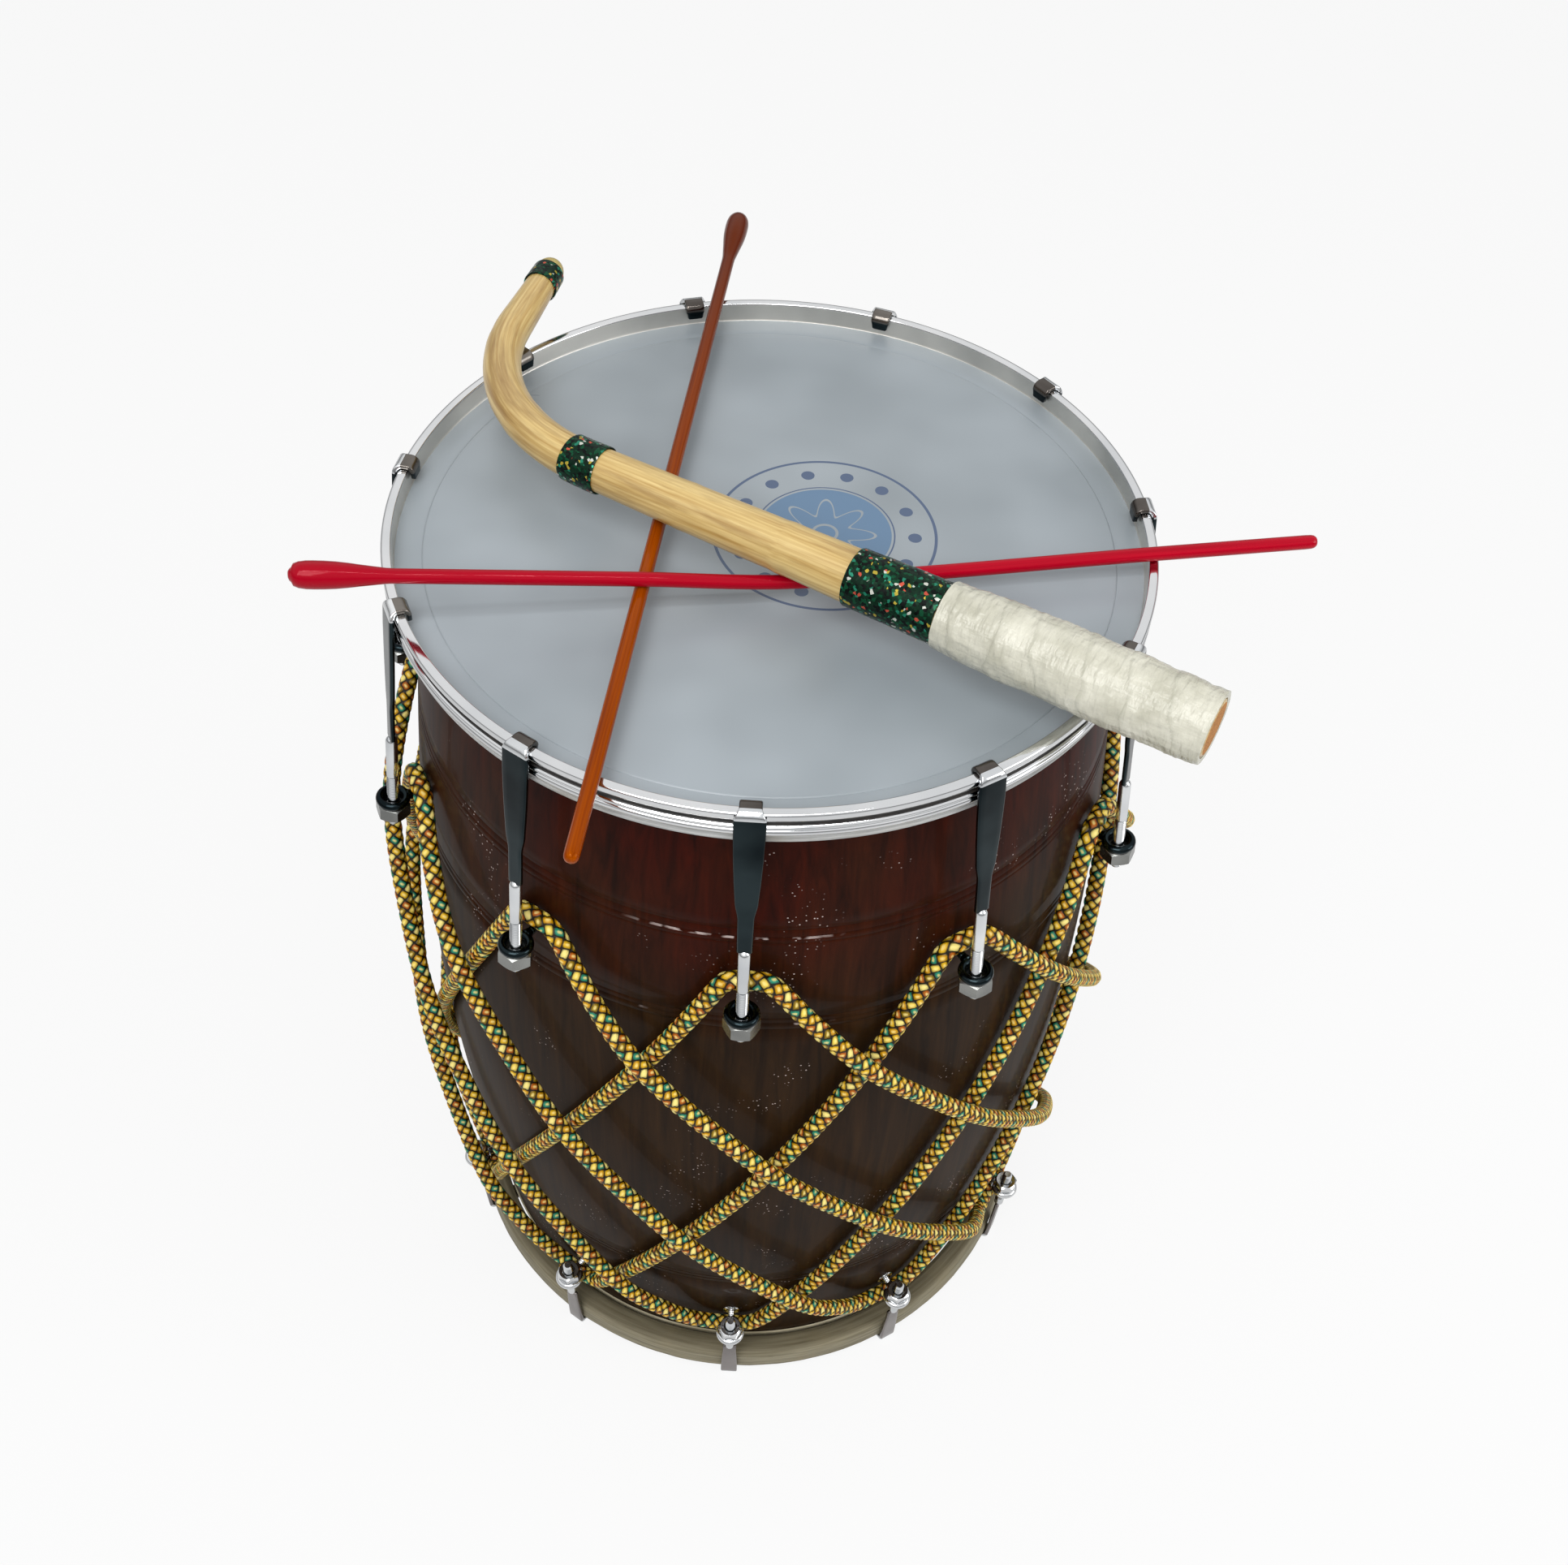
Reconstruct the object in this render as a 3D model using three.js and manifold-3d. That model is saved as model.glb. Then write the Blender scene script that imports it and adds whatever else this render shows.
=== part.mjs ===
import * as THREE from 'three';
import { mergeVertices } from 'three/addons/utils/BufferGeometryUtils.js';
import Module from 'manifold-3d';

const wasm = await Module();
wasm.setup();

// A dhol: a double-headed barrel drum standing on its bass head, with its two thin tihli
// and its bent dagga lying on the treble head. Millimetres, +Z along the drum's axis,
// origin at the centre of the bass skin's outer face, the player's side towards -Y.
// An azimuth of 0 faces -Y and turns towards +X.

// Barrel
const shellLength = 542;
const mouthRadius = 169;
const bellyRise = 22.5;
const shellWall = 12;
const edgeChamfer = 1.5;

// Heads and hoops
const hoopOverhang = 19;
const skinThickness = 1;
const bassHoopHeight = 18.5;
const bassHoopDrop = 3.5;
const bassHoopChamfer = 4;
const filmThickness = 0.5;
const counterHoopRise = 10;
const counterHoopHeight = 14;
const counterHoopLip = 5;
const counterFlangeThickness = 2.5;
const counterFlangeClearance = 3.2;
const counterBeadRound = 1;
const counterGrooveDepth = 1.6;
const counterGrooveWidth = 3;
const counterGrooveDrop = 6.5;
const fleshHoopHeight = 5.8;
const fleshHoopInset = 2;

// Tension hooks, their nuts and their eye bolts
const lugCount = 11;
const trebleEyeDrop = 125.5;
const bassEyeDrop = 63.5;
const trebleEyeReach = 19;
const bassEyeReach = 14.5;
const hookThickness = 2.5;
const hookWidth = 14;
const neckWidth = 7.5;
const trebleStripLength = 50;
const bassStripLength = 24;
const taperLength = 12;
const trebleNeckLength = 21;
const bassNeckLength = 6;
const clawLip = 8;
const clawFoot = 1.2;
const rodRadius = 3;
const rodTail = 8;
const eyeOuterRadius = 8.75;
const eyeHoleRadius = 4.6;
const eyeWire = 4.4;
const innerNutRadius = 6.5;
const innerNutHeight = 5;
const shankTail = 3;
const trebleNutRadius = 9;
const trebleNutHeight = 8;
const bassNutRadius = 7.5;
const bassNutHeight = 6.5;
const nutBore = 3.6;

// Lacing rope: how far its straight runs aim past the crowns over the treble shanks and the
// feet under the bass shanks, and how softly they turn into them
const ropeRadius = 5;
const ropeChordRise = 0.7;
const ropeCrossingRise = 10.6;
const downLugs = 3;
const upLugs = 2;
const ropeCrownCut = 17.5;
const ropeFootCut = 30;
const ropeCrownBend = 3;
const ropeFootBend = 7;

// Tihli, the two thin beaters
const tihliLength = 485;
const tihliRadius = 3.5;
const tihliBulbRadius = 6.5;
const tihliBulbLength = 46;
const tihliTipRadius = 2;
const tihliTipRound = 2.5;
const brownMiddleShares = [-0.275, 0.1085];
const brownHeading = THREE.MathUtils.degToRad(85.4);
const redHeading = THREE.MathUtils.degToRad(11);
const redOverBrownShares = [-0.3185, -0.317];
const redBulbOverhang = 154.3;

// Dagga, the bent cane beater
const daggaGripEndShares = [1.0404, -0.7452];
const daggaHeading = THREE.MathUtils.degToRad(152.2);
const daggaStraight = 324;
const daggaBendRadius = 99;
const daggaBendAngle = THREE.MathUtils.degToRad(75);
const daggaTipLength = 60;
const gripLength = 130;
const gripRadius = 18.5;
const gripEndRadius = 18;
const gripStartRadius = 16.5;
const caneGripRadius = 14;
const caneBandRadius = 13.2;
const caneMiddleRadius = 11;
const caneBendRadius = 9.4;
const caneTipRadius = 7.6;
const caneTipRound = 6;
const bandThickness = 0.9;
const gripBandLength = 46;
const middleBandStart = 314;
const middleBandLength = 19;
const tipBandStart = 490;
const tipBandLength = 14;

// Running gap between pieces that touch, and how finely round shapes are cut
const gap = 0.3;
const roundSteps = 44;
const barrelSteps = 8;
const rodSides = 8;
const shankSides = 6;
const ropeSides = 6;
const stickSides = 12;
const bendSteps = 8;
const tihliSteps = 9;

// Places that follow from the sizes
const bellyRadius = mouthRadius + bellyRise;
const hoopRadius = mouthRadius + hoopOverhang;
const shellBottom = skinThickness + gap;
const shellTop = shellBottom + shellLength;
const shellMiddle = (shellBottom + shellTop) / 2;
const filmFace = shellTop + gap + filmThickness;
const trebleRim = filmFace + counterHoopRise;
const bassRim = -bassHoopDrop;
const lugStep = 2 * Math.PI / lugCount;
const shankRadius = eyeWire / 2;

function barrelRadius(z) {
  const arc = ((shellLength / 2) ** 2 + bellyRise ** 2) / (2 * bellyRise);
  return bellyRadius - arc + Math.sqrt(arc ** 2 - (z - shellMiddle) ** 2);
}

// Geometry helpers

function welded(geometry) {
  const bare = geometry.clone();
  bare.deleteAttribute('normal');
  bare.deleteAttribute('uv');
  const merged = mergeVertices(bare);
  const index = merged.index.array;
  const kept = [];
  for (let i = 0; i < index.length; i += 3) {
    const [a, b, c] = [index[i], index[i + 1], index[i + 2]];
    if (a !== b && b !== c && c !== a) kept.push(a, b, c);
  }
  merged.setIndex(kept);
  return merged;
}

function solidOf(geometry) {
  const mesh = welded(geometry);
  return new wasm.Manifold(new wasm.Mesh({
    numProp: 3,
    vertProperties: new Float32Array(mesh.attributes.position.array),
    triVerts: new Uint32Array(mesh.index.array)
  }));
}

function geometryOf(solid) {
  const mesh = solid.getMesh();
  const geometry = new THREE.BufferGeometry();
  geometry.setAttribute('position', new THREE.BufferAttribute(mesh.vertProperties, mesh.numProp));
  geometry.setIndex(Array.from(mesh.triVerts));
  return geometry;
}

// A body turned about the drum's axis: the profile runs anticlockwise in radius and height
function turned(profile, steps = roundSteps) {
  const points = profile.map(([r, z]) => new THREE.Vector2(r, z));
  if (profile[0][0] > 0) points.push(points[0].clone());
  return welded(new THREE.LatheGeometry(points, steps).rotateX(Math.PI / 2));
}

// A flat outline extruded both ways from the plane that its first two axes span
function slab(outline, thickness, xAxis, yAxis, holes = []) {
  const shape = new THREE.Shape(outline.map(([x, y]) => new THREE.Vector2(x, y)));
  for (const hole of holes) {
    shape.holes.push(new THREE.Path(hole.map(([x, y]) => new THREE.Vector2(x, y))));
  }
  const geometry = new THREE.ExtrudeGeometry(shape, { depth: thickness, bevelEnabled: false });
  geometry.translate(0, 0, -thickness / 2);
  const zAxis = new THREE.Vector3().crossVectors(xAxis, yAxis);
  return geometry.applyMatrix4(new THREE.Matrix4().makeBasis(xAxis, yAxis, zAxis));
}

function polygon(radius, sides, turn = 0) {
  const points = [];
  for (let i = 0; i < sides; i++) {
    const angle = turn + 2 * Math.PI * i / sides;
    points.push([radius * Math.cos(angle), radius * Math.sin(angle)]);
  }
  return points;
}

// Stations along a path: each has its centre and the two directions across the path
function stationsAlong(points, outward, closed = false) {
  const last = points.length - 1;
  return points.map((centre, i) => {
    const before = points[i > 0 ? i - 1 : closed ? last : 0];
    const after = points[i < last ? i + 1 : closed ? 0 : last];
    const inLeg = new THREE.Vector3().subVectors(centre, before).normalize();
    const outLeg = new THREE.Vector3().subVectors(after, centre).normalize();
    const tangent = inLeg.add(outLeg).normalize();
    const normal = outward(centre).clone();
    normal.addScaledVector(tangent, -normal.dot(tangent)).normalize();
    const side = new THREE.Vector3().crossVectors(tangent, normal);
    return { centre, normal, side };
  });
}

function ringAround(station, radius, sides) {
  const ring = [];
  for (let j = 0; j < sides; j++) {
    const angle = 2 * Math.PI * j / sides;
    ring.push(station.centre.clone()
      .addScaledVector(station.normal, radius * Math.cos(angle))
      .addScaledVector(station.side, radius * Math.sin(angle)));
  }
  return ring;
}

function meshOfRings(rings, closed) {
  const sides = rings[0].length;
  const positions = rings.flat().flatMap((point) => point.toArray());
  const index = [];
  const spans = closed ? rings.length : rings.length - 1;
  for (let i = 0; i < spans; i++) {
    const next = (i + 1) % rings.length;
    for (let j = 0; j < sides; j++) {
      const a = i * sides + j;
      const b = i * sides + (j + 1) % sides;
      const c = next * sides + (j + 1) % sides;
      const d = next * sides + j;
      index.push(a, b, c, a, c, d);
    }
  }
  if (!closed) {
    const end = (rings.length - 1) * sides;
    for (let j = 1; j < sides - 1; j++) {
      index.push(0, j + 1, j);
      index.push(end, end + j, end + j + 1);
    }
  }
  const geometry = new THREE.BufferGeometry();
  geometry.setAttribute('position', new THREE.Float32BufferAttribute(positions, 3));
  geometry.setIndex(index);
  return geometry;
}

// A round bar whose radius may change from station to station
function bar(stations, radii, sides, closed = false) {
  return meshOfRings(stations.map((station, i) => ringAround(station, radii[i], sides)), closed);
}

// A tube over such a bar: outside from first to last station, inside back again
function sleeve(stations, innerRadii, outerRadii, sides) {
  const outer = stations.map((station, i) => ringAround(station, outerRadii[i], sides));
  const inner = stations.map((station, i) => ringAround(station, innerRadii[i], sides));
  return meshOfRings([...outer, ...inner.reverse()], true);
}

const group = new THREE.Group();

function addPiece(name, geometry, color, roughness, metalness, parent = group) {
  const material = new THREE.MeshStandardMaterial({ color, roughness, metalness });
  const mesh = new THREE.Mesh(geometry, material);
  mesh.name = name;
  parent.add(mesh);
  return mesh;
}

// The two sides of the drum: where their hooks grip and where their eyes stand
const bassHoopTop = bassRim + bassHoopHeight;
const bassHoopInner = barrelRadius(bassHoopTop) + gap + skinThickness + gap;
const trebleEyeHeight = trebleRim - trebleEyeDrop;
const bassEyeHeight = bassRim + bassEyeDrop;
const sides = {
  treble: {
    up: 1,
    rim: trebleRim,
    eyeHeight: trebleEyeHeight,
    eyeRadius: barrelRadius(trebleEyeHeight) + trebleEyeReach,
    gripInner: hoopRadius - counterHoopLip,
    lip: clawLip,
    strip: trebleStripLength,
    neck: trebleNeckLength,
    nutRadius: trebleNutRadius,
    nutHeight: trebleNutHeight
  },
  bass: {
    up: -1,
    rim: bassRim,
    eyeHeight: bassEyeHeight,
    eyeRadius: barrelRadius(bassEyeHeight) + bassEyeReach,
    gripInner: bassHoopInner + gap,
    lip: bassHoopChamfer - clawFoot,
    strip: bassStripLength,
    neck: bassNeckLength,
    nutRadius: bassNutRadius,
    nutHeight: bassNutHeight
  }
};

// The hook leans: its rod runs from the eye to the outside of the hoop
function lean(side) {
  const stripRadius = hoopRadius + gap + hookThickness / 2;
  const reach = Math.abs(side.rim + side.up * gap - side.eyeHeight);
  return (side.eyeRadius - stripRadius) / reach;
}

function eyeFrame(side) {
  const tilt = -side.up * Math.atan(lean(side));
  return new THREE.Matrix4()
    .makeRotationX(tilt)
    .setPosition(0, -side.eyeRadius, side.eyeHeight);
}

const east = new THREE.Vector3(1, 0, 0);
const north = new THREE.Vector3(0, 1, 0);
const south = new THREE.Vector3(0, -1, 0);
const zenith = new THREE.Vector3(0, 0, 1);

// Eye bolt: a flat ring on a shank through the shell, with its nut on the inside
function eyeBolt(side) {
  const ring = slab(polygon(eyeOuterRadius, rodSides, Math.PI / rodSides), eyeWire, east, north,
    [polygon(eyeHoleRadius, rodSides, Math.PI / rodSides)]);
  const reach = side.eyeRadius - barrelRadius(side.eyeHeight);
  const inside = reach + shellWall + innerNutHeight;
  const shankStart = (eyeOuterRadius + eyeHoleRadius) / 2;
  const shankEnd = inside + shankTail;
  const shank = new THREE.CylinderGeometry(shankRadius, shankRadius, shankEnd - shankStart, shankSides);
  shank.translate(0, (shankStart + shankEnd) / 2, 0);
  const nut = new THREE.CylinderGeometry(innerNutRadius, innerNutRadius, innerNutHeight * 2, shankSides);
  nut.translate(0, inside - innerNutHeight, 0);
  const bolt = solidOf(ring).add(solidOf(shank)).add(solidOf(nut));
  return solidOf(geometryOf(bolt).applyMatrix4(eyeFrame(side)));
}

function shell() {
  const outer = [];
  const inner = [];
  for (let i = 1; i < barrelSteps; i++) {
    const z = shellBottom + shellLength * i / barrelSteps;
    outer.push([barrelRadius(z), z]);
    if (i % 2 === 0) inner.unshift([barrelRadius(z) - shellWall, z]);
  }
  const profile = [
    [mouthRadius - shellWall, shellBottom],
    [mouthRadius - edgeChamfer, shellBottom],
    [mouthRadius, shellBottom + edgeChamfer],
    ...outer,
    [mouthRadius, shellTop - edgeChamfer],
    [mouthRadius - edgeChamfer, shellTop],
    [mouthRadius - shellWall, shellTop],
    ...inner
  ];
  const parts = [solidOf(turned(profile))];
  for (const side of Object.values(sides)) {
    const bolt = eyeBolt(side);
    for (let k = 0; k < lugCount; k++) {
      parts.push(bolt.rotate([0, 0, THREE.MathUtils.radToDeg(k * lugStep)]));
    }
  }
  return geometryOf(wasm.Manifold.union(parts));
}

// A head: a disc with a collar that runs down outside the barrel's mouth
function head(face, up, thickness, collarLength) {
  const inside = face - up * thickness;
  const edge = inside - up * gap;
  const turnStart = mouthRadius - edgeChamfer;
  const shoulder = mouthRadius + gap;
  const collarEnd = edge - up * collarLength;
  const collar = barrelRadius(collarEnd) + gap;
  const profile = [
    [0, inside],
    [turnStart, inside],
    [shoulder, edge - up * edgeChamfer],
    [collar, collarEnd],
    [collar + thickness, collarEnd],
    [shoulder + thickness, edge - up * edgeChamfer],
    [turnStart + thickness, face],
    [0, face]
  ];
  return turned(up > 0 ? profile : profile.reverse());
}

function bassHoop() {
  const c = bassHoopChamfer;
  return turned([
    [bassHoopInner + c, bassRim], [hoopRadius - c, bassRim],
    [hoopRadius, bassRim + c], [hoopRadius, bassHoopTop - c],
    [hoopRadius - c, bassHoopTop], [bassHoopInner + c, bassHoopTop],
    [bassHoopInner, bassHoopTop - c], [bassHoopInner, bassRim + c]
  ]);
}

const counterHoopBottom = trebleRim - counterHoopHeight;
const fleshHoopTop = counterHoopBottom - gap;
const fleshHoopBottom = fleshHoopTop - fleshHoopHeight;
const trebleHoopInner = barrelRadius(fleshHoopBottom) + gap + filmThickness + gap;

function counterHoop() {
  const wall = hoopRadius - counterHoopLip;
  const flangeInner = mouthRadius + gap + filmThickness + counterFlangeClearance;
  const grooveMiddle = trebleRim - counterGrooveDrop;
  const flangeTop = counterHoopBottom + counterFlangeThickness;
  return turned([
    [flangeInner, counterHoopBottom],
    [hoopRadius - counterBeadRound, counterHoopBottom],
    [hoopRadius, counterHoopBottom + counterBeadRound],
    [hoopRadius, grooveMiddle - counterGrooveWidth / 2],
    [hoopRadius - counterGrooveDepth, grooveMiddle],
    [hoopRadius, grooveMiddle + counterGrooveWidth / 2],
    [hoopRadius, trebleRim - counterBeadRound],
    [hoopRadius - counterBeadRound, trebleRim],
    [wall, trebleRim],
    [wall, flangeTop],
    [flangeInner, flangeTop]
  ]);
}

function trebleFleshHoop() {
  return turned([
    [trebleHoopInner, fleshHoopBottom], [hoopRadius - fleshHoopInset, fleshHoopBottom],
    [hoopRadius - fleshHoopInset, fleshHoopTop], [trebleHoopInner, fleshHoopTop]
  ]);
}

// Tension hook: a claw over the hoop, a tapering strip and a threaded rod through the eye
function hook(side) {
  const slope = lean(side);
  const zAt = (drop) => side.rim - side.up * drop;
  const inner = hoopRadius + gap;
  const outer = inner + hookThickness;
  const lipOuter = side.gripInner - gap - hookWidth / 2 * Math.tan(Math.PI / roundSteps);
  const lipInner = lipOuter - hookThickness;
  const stripEnd = side.strip + taperLength + side.neck;
  const corner = hookThickness / 2;
  const profile = [
    [inner, zAt(-gap)],
    [lipOuter, zAt(-gap)],
    [lipOuter, zAt(side.lip)],
    [lipInner, zAt(side.lip)],
    [lipInner, zAt(-gap - corner)],
    [lipInner + corner, zAt(-gap - hookThickness)],
    [outer - corner, zAt(-gap - hookThickness)],
    [outer, zAt(-gap - corner)],
    [outer + slope * (stripEnd + gap), zAt(stripEnd)],
    [inner + slope * (stripEnd + gap), zAt(stripEnd)]
  ];
  const half = hookWidth / 2;
  const halfNeck = neckWidth / 2;
  const top = zAt(-gap - hookThickness * 2);
  const outline = [
    [-half, top], [half, top], [half, zAt(side.strip)], [halfNeck, zAt(side.strip + taperLength)],
    [halfNeck, zAt(stripEnd)], [-halfNeck, zAt(stripEnd)], [-halfNeck, zAt(side.strip + taperLength)],
    [-half, zAt(side.strip)]
  ];
  const band = solidOf(slab(profile, hookWidth * 2, south, zenith));
  const front = solidOf(slab(outline, side.eyeRadius * 4, east, zenith));
  const rodEnd = eyeWire / 2 + gap + side.nutHeight + rodTail;
  const rodStart = Math.abs(side.eyeHeight - zAt(stripEnd - side.neck / 2));
  const rod = new THREE.CylinderGeometry(rodRadius, rodRadius, rodStart + rodEnd, rodSides);
  rod.rotateX(Math.PI / 2);
  rod.translate(0, 0, side.up * (rodStart - rodEnd) / 2);
  rod.applyMatrix4(eyeFrame(side));
  return geometryOf(band.intersect(front).add(solidOf(rod)));
}

// Hexagon nut on the rod, against the far side of the eye
function nut(side) {
  const middle = -side.up * (eyeWire / 2 + gap + side.nutHeight / 2);
  const bore = nutBore / Math.cos(Math.PI / rodSides);
  const hexagon = polygon(side.nutRadius, 6);
  const geometry = slab(hexagon, side.nutHeight, east, north, [polygon(bore, rodSides)]);
  return welded(geometry.translate(0, 0, middle).applyMatrix4(eyeFrame(side)));
}

// Lacing: one rope over every treble shank and under every bass shank. It goes three lugs on
// as it comes down and two lugs on as it goes up, so it closes after five turns of the drum.
const crownHeight = trebleEyeHeight + shankRadius + gap + ropeRadius;
const footHeight = bassEyeHeight - shankRadius - gap - ropeRadius;
const ropeSeat = ropeRadius + gap + ropeChordRise;
const ropeShares = [0, 0.02, 0.042, 0.09, 0.2, 0.3, 0.4, 0.5, 0.6, 0.7, 0.8, 0.88, 0.93, 0.97];
const crossingRiseShares = [0, 0, 0.08, 0.42, 1, 0.9, 1, 0.9, 1, 0.9, 1, 0.5, 0.14, 0];

function softMin(a, b, bend) {
  return Math.min(a, b) - bend * Math.log1p(Math.exp(-Math.abs(a - b) / bend));
}

function ropeHeight(share) {
  const line = THREE.MathUtils.lerp(crownHeight + ropeCrownCut, footHeight - ropeFootCut, share);
  return -softMin(-softMin(line, crownHeight, ropeCrownBend), -footHeight, ropeFootBend);
}

function ropePoint(lug, share, rise) {
  const z = ropeHeight(share);
  const r = barrelRadius(z) + ropeSeat + rise;
  const azimuth = lug * lugStep;
  return new THREE.Vector3(r * Math.sin(azimuth), -r * Math.cos(azimuth), z);
}

function lacing() {
  const points = [];
  let lug = 0;
  for (let span = 0; span < lugCount; span++) {
    ropeShares.forEach((share, i) => {
      points.push(ropePoint(lug + downLugs * share, share, ropeCrossingRise * crossingRiseShares[i]));
    });
    lug += downLugs;
    for (const share of ropeShares) {
      points.push(ropePoint(lug + upLugs * share, 1 - share, 0));
    }
    lug += upLugs;
  }
  const outward = (point) => new THREE.Vector3(point.x, point.y, 0).normalize();
  const stations = stationsAlong(points, outward, true);
  return bar(stations, stations.map(() => ropeRadius), ropeSides, true);
}

// Where the beaters lie on the drum, as shares of the hoop's radius
function onDrum([xShare, yShare]) {
  return new THREE.Vector2(hoopRadius * xShare, hoopRadius * yShare);
}

const brownMiddle = onDrum(brownMiddleShares);
const redOverBrown = onDrum(redOverBrownShares);
const daggaGripEnd = onDrum(daggaGripEndShares);

// Places on a straight line in plan
function stepOn(from, heading, distance) {
  return new THREE.Vector2(
    from.x + distance * Math.cos(heading),
    from.y + distance * Math.sin(heading));
}

// How far along such a line the hoop is crossed, the first time or the second
function reachToHoop(from, heading, second) {
  const along = from.x * Math.cos(heading) + from.y * Math.sin(heading);
  const half = Math.sqrt(along ** 2 - from.lengthSq() + (hoopRadius - counterHoopLip / 2) ** 2);
  return -along + (second ? half : -half);
}

// How far along such a line it crosses another one
function reachToLine(from, heading, other, otherHeading) {
  const dx = other.x - from.x;
  const dy = other.y - from.y;
  return (dx * Math.sin(otherHeading) - dy * Math.cos(otherHeading)) /
    Math.sin(otherHeading - heading);
}

// The value at a distance in a table of distances and values
function valueAt(table, distance) {
  const next = table.findIndex(([stop]) => stop >= distance);
  if (next <= 0) return table[0][1];
  const [[fromStop, from], [toStop, to]] = [table[next - 1], table[next]];
  return from + (to - from) * (distance - fromStop) / (toStop - fromStop);
}

// Dagga: its line in plan from the grip's end, and its girth along that line
const daggaBendLength = daggaBendRadius * daggaBendAngle;
const daggaLength = daggaStraight + daggaBendLength + daggaTipLength;
const gripBandStart = gripLength + gap;
const caneGirth = [
  [0, caneGripRadius],
  [gripLength, caneGripRadius],
  [gripBandStart + gripBandLength, caneBandRadius],
  [daggaStraight, caneMiddleRadius],
  [daggaStraight + daggaBendLength, caneBendRadius],
  [daggaLength - caneTipRound, caneTipRadius],
  [daggaLength - caneTipRound / 3, caneTipRadius * 3 / 4],
  [daggaLength, caneTipRadius / 3]
];
const gripGirth = [
  [0, gripEndRadius],
  [gripLength / 4, gripRadius],
  [gripLength * 3 / 4, gripRadius],
  [gripLength, gripStartRadius]
];

function daggaPlan(distance) {
  if (distance <= daggaStraight) return stepOn(daggaGripEnd, daggaHeading, distance);
  const bendStart = stepOn(daggaGripEnd, daggaHeading, daggaStraight);
  const centre = stepOn(bendStart, daggaHeading - Math.PI / 2, daggaBendRadius);
  const turn = Math.min(distance - daggaStraight, daggaBendLength) / daggaBendRadius;
  const onBend = stepOn(centre, daggaHeading + Math.PI / 2 - turn, daggaBendRadius);
  const past = Math.max(distance - daggaStraight - daggaBendLength, 0);
  return stepOn(onBend, daggaHeading - daggaBendAngle, past);
}

// Where the beaters rest: the brown tihli on the counter hoop, the red one over the brown and
// under the dagga, and the dagga on the hoop and the brown tihli
const restHeight = trebleRim + gap;
const brownHeight = restHeight + tihliRadius;
const daggaReachToHoop = reachToHoop(daggaGripEnd, daggaHeading, false);
const daggaReachToBrown = reachToLine(daggaGripEnd, daggaHeading, brownMiddle, brownHeading);
const daggaHeightOnHoop = restHeight + valueAt(gripGirth, daggaReachToHoop);
const daggaHeightOnBrown =
  brownHeight + tihliRadius + gap + valueAt(caneGirth, daggaReachToBrown);
const daggaSlope =
  (daggaHeightOnBrown - daggaHeightOnHoop) / (daggaReachToBrown - daggaReachToHoop);

function daggaHeight(distance) {
  return daggaHeightOnHoop + daggaSlope * (distance - daggaReachToHoop);
}

const bendStops = Array.from({ length: bendSteps }, (_, i) =>
  daggaStraight + daggaBendLength * (i + 1) / bendSteps);
const daggaStops = [
  ...caneGirth.map(([stop]) => stop),
  ...gripGirth.map(([stop]) => stop),
  gripBandStart,
  middleBandStart, middleBandStart + middleBandLength,
  tipBandStart, tipBandStart + tipBandLength,
  ...bendStops
].sort((a, b) => a - b).filter((stop, i, all) => i === 0 || stop > all[i - 1]);

const daggaStations = stationsAlong(
  daggaStops.map((stop) => {
    const place = daggaPlan(stop);
    return new THREE.Vector3(place.x, place.y, daggaHeight(stop));
  }),
  () => zenith);

function daggaCane() {
  return bar(daggaStations, daggaStops.map((stop) => valueAt(caneGirth, stop)), stickSides);
}

function onCane(start, end, outerRadius) {
  const kept = daggaStops.map((stop, i) => [stop, daggaStations[i]])
    .filter(([stop]) => stop >= start && stop <= end);
  const inner = kept.map(([stop]) => valueAt(caneGirth, stop) + gap);
  const outer = kept.map(([stop], i) => outerRadius(stop, inner[i]));
  return sleeve(kept.map(([, station]) => station), inner, outer, stickSides);
}

function band(start, length) {
  return onCane(start, start + length, (stop, inner) => inner + bandThickness);
}

// Tihli: a bulb, a straight shaft and a rounded thin end
const bulbLengthShares = [0, 0.05, 0.2, 0.45, 0.75, 1];
const bulbGirthShares = [0.5, 0.85, 1, 0.95, 0.7, 0];
const tihliGirth = [
  ...bulbLengthShares.map((share, i) => [
    share * tihliBulbLength,
    i < bulbLengthShares.length - 1 ? tihliBulbRadius * bulbGirthShares[i] : tihliRadius
  ]),
  [tihliLength - tihliTipRound, tihliRadius],
  [tihliLength, tihliTipRadius]
];

function tihli(path) {
  const shaft = [];
  for (let i = 1; i < tihliSteps; i++) {
    shaft.push(THREE.MathUtils.lerp(tihliBulbLength, tihliLength - tihliTipRound, i / tihliSteps));
  }
  const stops = [...tihliGirth.map(([stop]) => stop), ...shaft].sort((a, b) => a - b);
  const stations = stationsAlong(stops.map((stop) => path(stop)), () => zenith);
  return bar(stations, stops.map((stop) => valueAt(tihliGirth, stop)), rodSides);
}

function brownTihli() {
  const bulbEnd = stepOn(brownMiddle, brownHeading, tihliLength / 2);
  return tihli((stop) => {
    const place = stepOn(bulbEnd, brownHeading + Math.PI, stop);
    return new THREE.Vector3(place.x, place.y, brownHeight);
  });
}

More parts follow.
